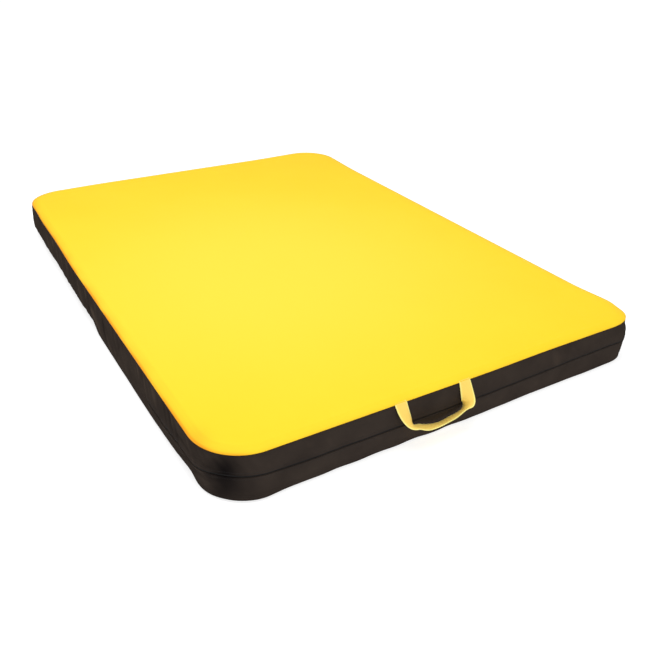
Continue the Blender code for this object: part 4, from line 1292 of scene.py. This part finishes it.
def closure(side_name, x):
    """One closure strap, sewn on at the rear hem, and the loop under the front half that its hook catches."""
    body = "closure_strap_" + side_name
    line = strap_line(CLOSURE_ROOT - CLOSURE_BAR, None, (EYE_LINE, CLOSURE_BACK))
    root = (x, CLOSURE_ROOT, HARNESS_HEIGHT)
    strap("closure_webbing_" + side_name, root, (0, -1), line, "closure_strap_" + side_name, body)
    bar = (x, CLOSURE_BAR, UNDER_STRAP)
    box_and_cross("closure_stitches_" + side_name, bar, (0, 1), CLOSURE_BOX, body)
    place = (x, LOOP_EYE + LOOP_LENGTH, LOOP_LEVEL)
    hook_loop("closure_loop_webbing_" + side_name, place, (0, -1), "closure_loop_" + side_name)


def hook_loop(name, place, along, node):
    """A short webbing loop against the roof of its hollow, with its eye turned to the hook."""
    level = LOOP_EYE_RADIUS - STRAP_THICKNESS / 2 - PLY
    sewn_back = LOOP_LENGTH - EYE_REACH * EYE_LINE - 0.001
    line = strap_line(LOOP_LENGTH, None, (EYE_LINE, sewn_back), level)
    strap(name, place, along, line, node, "front_half")
    root = (place[0], place[1], place[2] + level - PLY - STRAP_THICKNESS / 2)
    box_and_cross(name + "_stitches", root, along, LOOP_BOX, "front_half")


def shoulder_strap(side_name, turn):
    """Padding, the tab that holds its buckle, the tail through the buckle, and the loop for its hook."""
    body = "shoulder_strap_" + side_name
    y = float(shoulder_line(PADDING_END, turn))
    padding(side_name, turn, body)
    tab_start = PADDING_END - TAB_OVERLAP
    tab_length = FIRST_BAR - tab_start
    tab = strap_line(tab_length, None, (BAR_LINE, tab_length - EYE_REACH * BAR_LINE - 0.001))
    tab_place = (tab_start, y, HARNESS_HEIGHT)
    strap("shoulder_tab_webbing_" + side_name, tab_place, (1, 0), tab, "buckle_tab_" + side_name, body)
    tail = strap_line(HOOK_BAR - LAST_BAR, (BAR_LINE, BUCKLE_BACK), (EYE_LINE, HOOK_BACK))
    tail_place = (LAST_BAR, y, HARNESS_HEIGHT)
    strap("shoulder_tail_webbing_" + side_name, tail_place, (1, 0), tail, "shoulder_tail_" + side_name, body)
    box_and_cross("tail_stitches_" + side_name, (HOOK_BAR, y, UNDER_STRAP), (1, 0), TAIL_BOX, body)
    box_and_cross("tab_stitches_" + side_name, (PADDING_END, y, UNDER_STRAP), (1, 0), TAB_BOX, body)
    place = (SHOULDER_LOOP, y, LOOP_LEVEL)
    hook_loop("shoulder_loop_webbing_" + side_name, place, (-1, 0), "shoulder_loop_" + side_name)


PADDING_STEP = 0.006
# Thickness left at the padding's edge, as a share of its middle, and distance between its quilted waves
EDGE_SHARE = 0.36
QUILT_PITCH = 0.034


def padding_stations():
    """X of each section of the padding and how much of its thickness is left there."""
    half = SHOULDER_THICKNESS / 2
    stations = []
    for degrees in (85, 65, 45, 25):
        angle = math.radians(degrees)
        stations.append((SHOULDER_TOP - half * math.sin(angle), math.cos(angle)))
    count = round(SHOULDER_LENGTH / PADDING_STEP)
    for i in range(count + 1):
        share = i / count
        stations.append((SHOULDER_TOP + SHOULDER_LENGTH * share, 1 - 0.5 * float(smooth(0.85, 1, share))))
    return stations


def padding(side_name, turn, body):
    """Foam padding in its cover, crowned in the middle and thin at the bound edges."""
    stations = padding_stations()
    across = np.linspace(-1, 1, 15)
    crown = EDGE_SHARE + (1 - EDGE_SHARE) * (1 - np.abs(across) ** 2.6)
    points = []
    for x, fullness in stations:
        half = float(padding_half(max(x, SHOULDER_TOP)))
        middle = float(shoulder_line(x, turn))
        wave = 0.05 * math.sin(2 * math.pi * x / QUILT_PITCH) * (1 - across**2)
        up = SHOULDER_THICKNESS / 2 * fullness * np.clip(crown * 0.94 + wave, 0, 1)
        points += [(x, middle + half * b, HARNESS_HEIGHT + u) for b, u in zip(across, up)]
        points += [(x, middle + half * b, HARNESS_HEIGHT - u) for b, u in zip(across[::-1], up[::-1])]
    columns = 2 * len(across)
    faces, corners = rows_to_faces(len(stations), columns, False, True, caps=True)
    uv = [points[r * columns + c % columns][:2] for r, c in corners]
    made = piece("shoulder_pad_" + side_name, points, faces, uv, STRAP_COVER)
    made.data.flip_normals()
    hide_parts("shoulder_padding_" + side_name)
    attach(made, body)
    binding(side_name, turn, body)


def binding(side_name, turn, body):
    """Grosgrain folded over the padding's edge, once round from the lower end to the lower end."""
    xs = [x for x, fullness in padding_stations() if fullness > 0.8 or x > SHOULDER_TOP]
    path = []
    for way, stations in ((1, xs[::-1]), (-1, xs)):
        for x in stations:
            y = float(shoulder_line(x, turn) + way * padding_half(max(x, SHOULDER_TOP)))
            path.append(np.array([x, y, HARNESS_HEIGHT]))
    half = SHOULDER_THICKNESS / 2 * EDGE_SHARE + 0.0004
    section = [(-0.0046, half), (-0.0020, half + 0.0002), (0.0004, half), (0.0014, half * 0.6), (0.0017, 0)]
    section += [(a, -b) for a, b in section[-2::-1]]
    middle = np.array([SHOULDER_TOP + SHOULDER_LENGTH / 2, float(shoulder_line(0, turn)), HARNESS_HEIGHT])
    tangents = np.gradient(np.array(path), axis=0)
    points = []
    for place, along in zip(path, tangents):
        out = np.cross(along, (0, 0, 1.0))
        out = out / np.linalg.norm(out)
        if out.dot(place - middle) < 0 and abs(out[1]) > 0.5:
            out = -out
        points += [place + out * a + np.array([0, 0, b]) for a, b in section]
    faces, corners = rows_to_faces(len(path), len(section), False, True, caps=True)
    uv = [(0.006 * (c % len(section)) / len(section), r * PADDING_STEP) for r, c in corners]
    made = piece("shoulder_binding_" + side_name, points, faces, uv, GROSGRAIN)
    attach(made, body)


# Seams


GROOVE_BELOW_SEAM = 0.0042
ROW_FROM_ZIP = 0.0068


def seam_stitches():
    """Rows of stitches on the side wall: in the groove below the top seam, and on both sides of the zip."""
    columns = wall_columns()
    places, outward, _run = columns
    normals = np.column_stack([outward, np.zeros(len(outward))])
    line = wall_row(columns, SEAM_HEIGHT - GROOVE_BELOW_SEAM, 0.0003)
    made = dashes("top_seam_stitches", line, normals, SEAM_STITCH, closed=True)
    bend_at_fold(made)
    at_zip = places[:, 1] < -ZIP_END - 0.006
    order = np.roll(np.arange(len(places)), -int(np.argmax(at_zip & (places[:, 0] < 0))))
    keep = [i for i in order if at_zip[i]]
    for name, way in (("upper", 1), ("lower", -1)):
        line = wall_row(columns, ZIP_HEIGHT + way * ROW_FROM_ZIP, 0.0002)[keep]
        made = dashes(name + "_zip_stitches", line, normals[keep], SEAM_STITCH)
        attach(made, "front_half")


def dress_metal_and_plastic():
    """The CAD's own hooks, buckles, slider and pull, with their real finishes."""
    finishes = {"hook": SATIN_ALUMINIUM, "buckle": ACETAL}
    finishes |= {"zip_slider": LACQUERED_ZINC, "zip_pull": LACQUERED_ZINC}
    for node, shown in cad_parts.items():
        for word, finish in finishes.items():
            if word in node and "tab" not in node:
                shown.data.materials.clear()
                shown.data.materials.append(finish)


landing_face()
foam_layers()
side_wall()
zip_tape_and_coil()
base_cover()
for ending, side in (("front", FRONT), ("rear", REAR)):
    carry_handle(ending, side)
for side_name, direction in (("left", -1), ("right", 1)):
    closure(side_name, direction * CLOSURE_X)
    shoulder_strap(side_name, direction)
seam_stitches()
dress_metal_and_plastic()


# Floor, light and camera


FLOOR_GLOW = 0.74
SKY = 0.62
# Each soft light: place, side length and power in watts
LIGHTS = {
    "key": ((-0.40, -0.15, 2.2), 1.6, 31.0),
    "front_fill": ((0.0, -2.4, 0.8), 1.2, 5.5),
}
VIEW_DEGREES = (-31.673, 29.834, 1.531)
CAMERA_PLACE = (-0.81859, -1.53443, 0.86933)
SENSOR_WIDTH = 36.0
LENS = 40.945


def floor_and_light():
    """A white floor that glows a little, as a backlit studio sheet does, an even sky and soft lights."""
    bpy.ops.mesh.primitive_plane_add(size=40)
    floor = bpy.context.object
    floor.name = "studio_floor"
    values = {"Base Color": linear("#BCBCBC"), "Roughness": 0.9, "Specular IOR Level": 0.1}
    values |= {"Emission Color": (1, 1, 1, 1), "Emission Strength": FLOOR_GLOW}
    floor.data.materials.append(blank("white acrylic sheet", values))
    world = bpy.data.worlds.new("studio")
    world.use_nodes = True
    world.node_tree.nodes["Background"].inputs["Color"].default_value = (1, 1, 1, 1)
    world.node_tree.nodes["Background"].inputs["Strength"].default_value = SKY
    bpy.context.scene.world = world
    for name, (place, size, power) in LIGHTS.items():
        data = bpy.data.lights.new(name, "AREA")
        data.size = size
        data.energy = power
        lamp = bpy.data.objects.new(name, data)
        lamp.location = place
        lamp.rotation_euler = (-Vector(place)).to_track_quat("-Z", "Y").to_euler()
        bpy.context.scene.collection.objects.link(lamp)
    bpy.context.scene.view_settings.view_transform = "Standard"


def camera():
    """The photograph's own view: azimuth and elevation of the line from the pad to the camera, and roll."""
    azimuth, elevation, roll = (math.radians(degrees) for degrees in VIEW_DEGREES)
    flat = math.cos(elevation)
    back = Vector((math.sin(azimuth) * flat, -math.cos(azimuth) * flat, math.sin(elevation)))
    level = Vector((0, 0, 1)).cross(back).normalized()
    upright = back.cross(level)
    right = level * math.cos(roll) + upright * math.sin(roll)
    up = upright * math.cos(roll) - level * math.sin(roll)
    data = bpy.data.cameras.new("camera")
    data.sensor_width = SENSOR_WIDTH
    data.lens = LENS
    made = bpy.data.objects.new("camera", data)
    turn = Matrix([right, up, back]).transposed()
    made.matrix_world = Matrix.Translation(CAMERA_PLACE) @ turn.to_4x4()
    bpy.context.scene.collection.objects.link(made)
    bpy.context.scene.camera = made


floor_and_light()
camera()
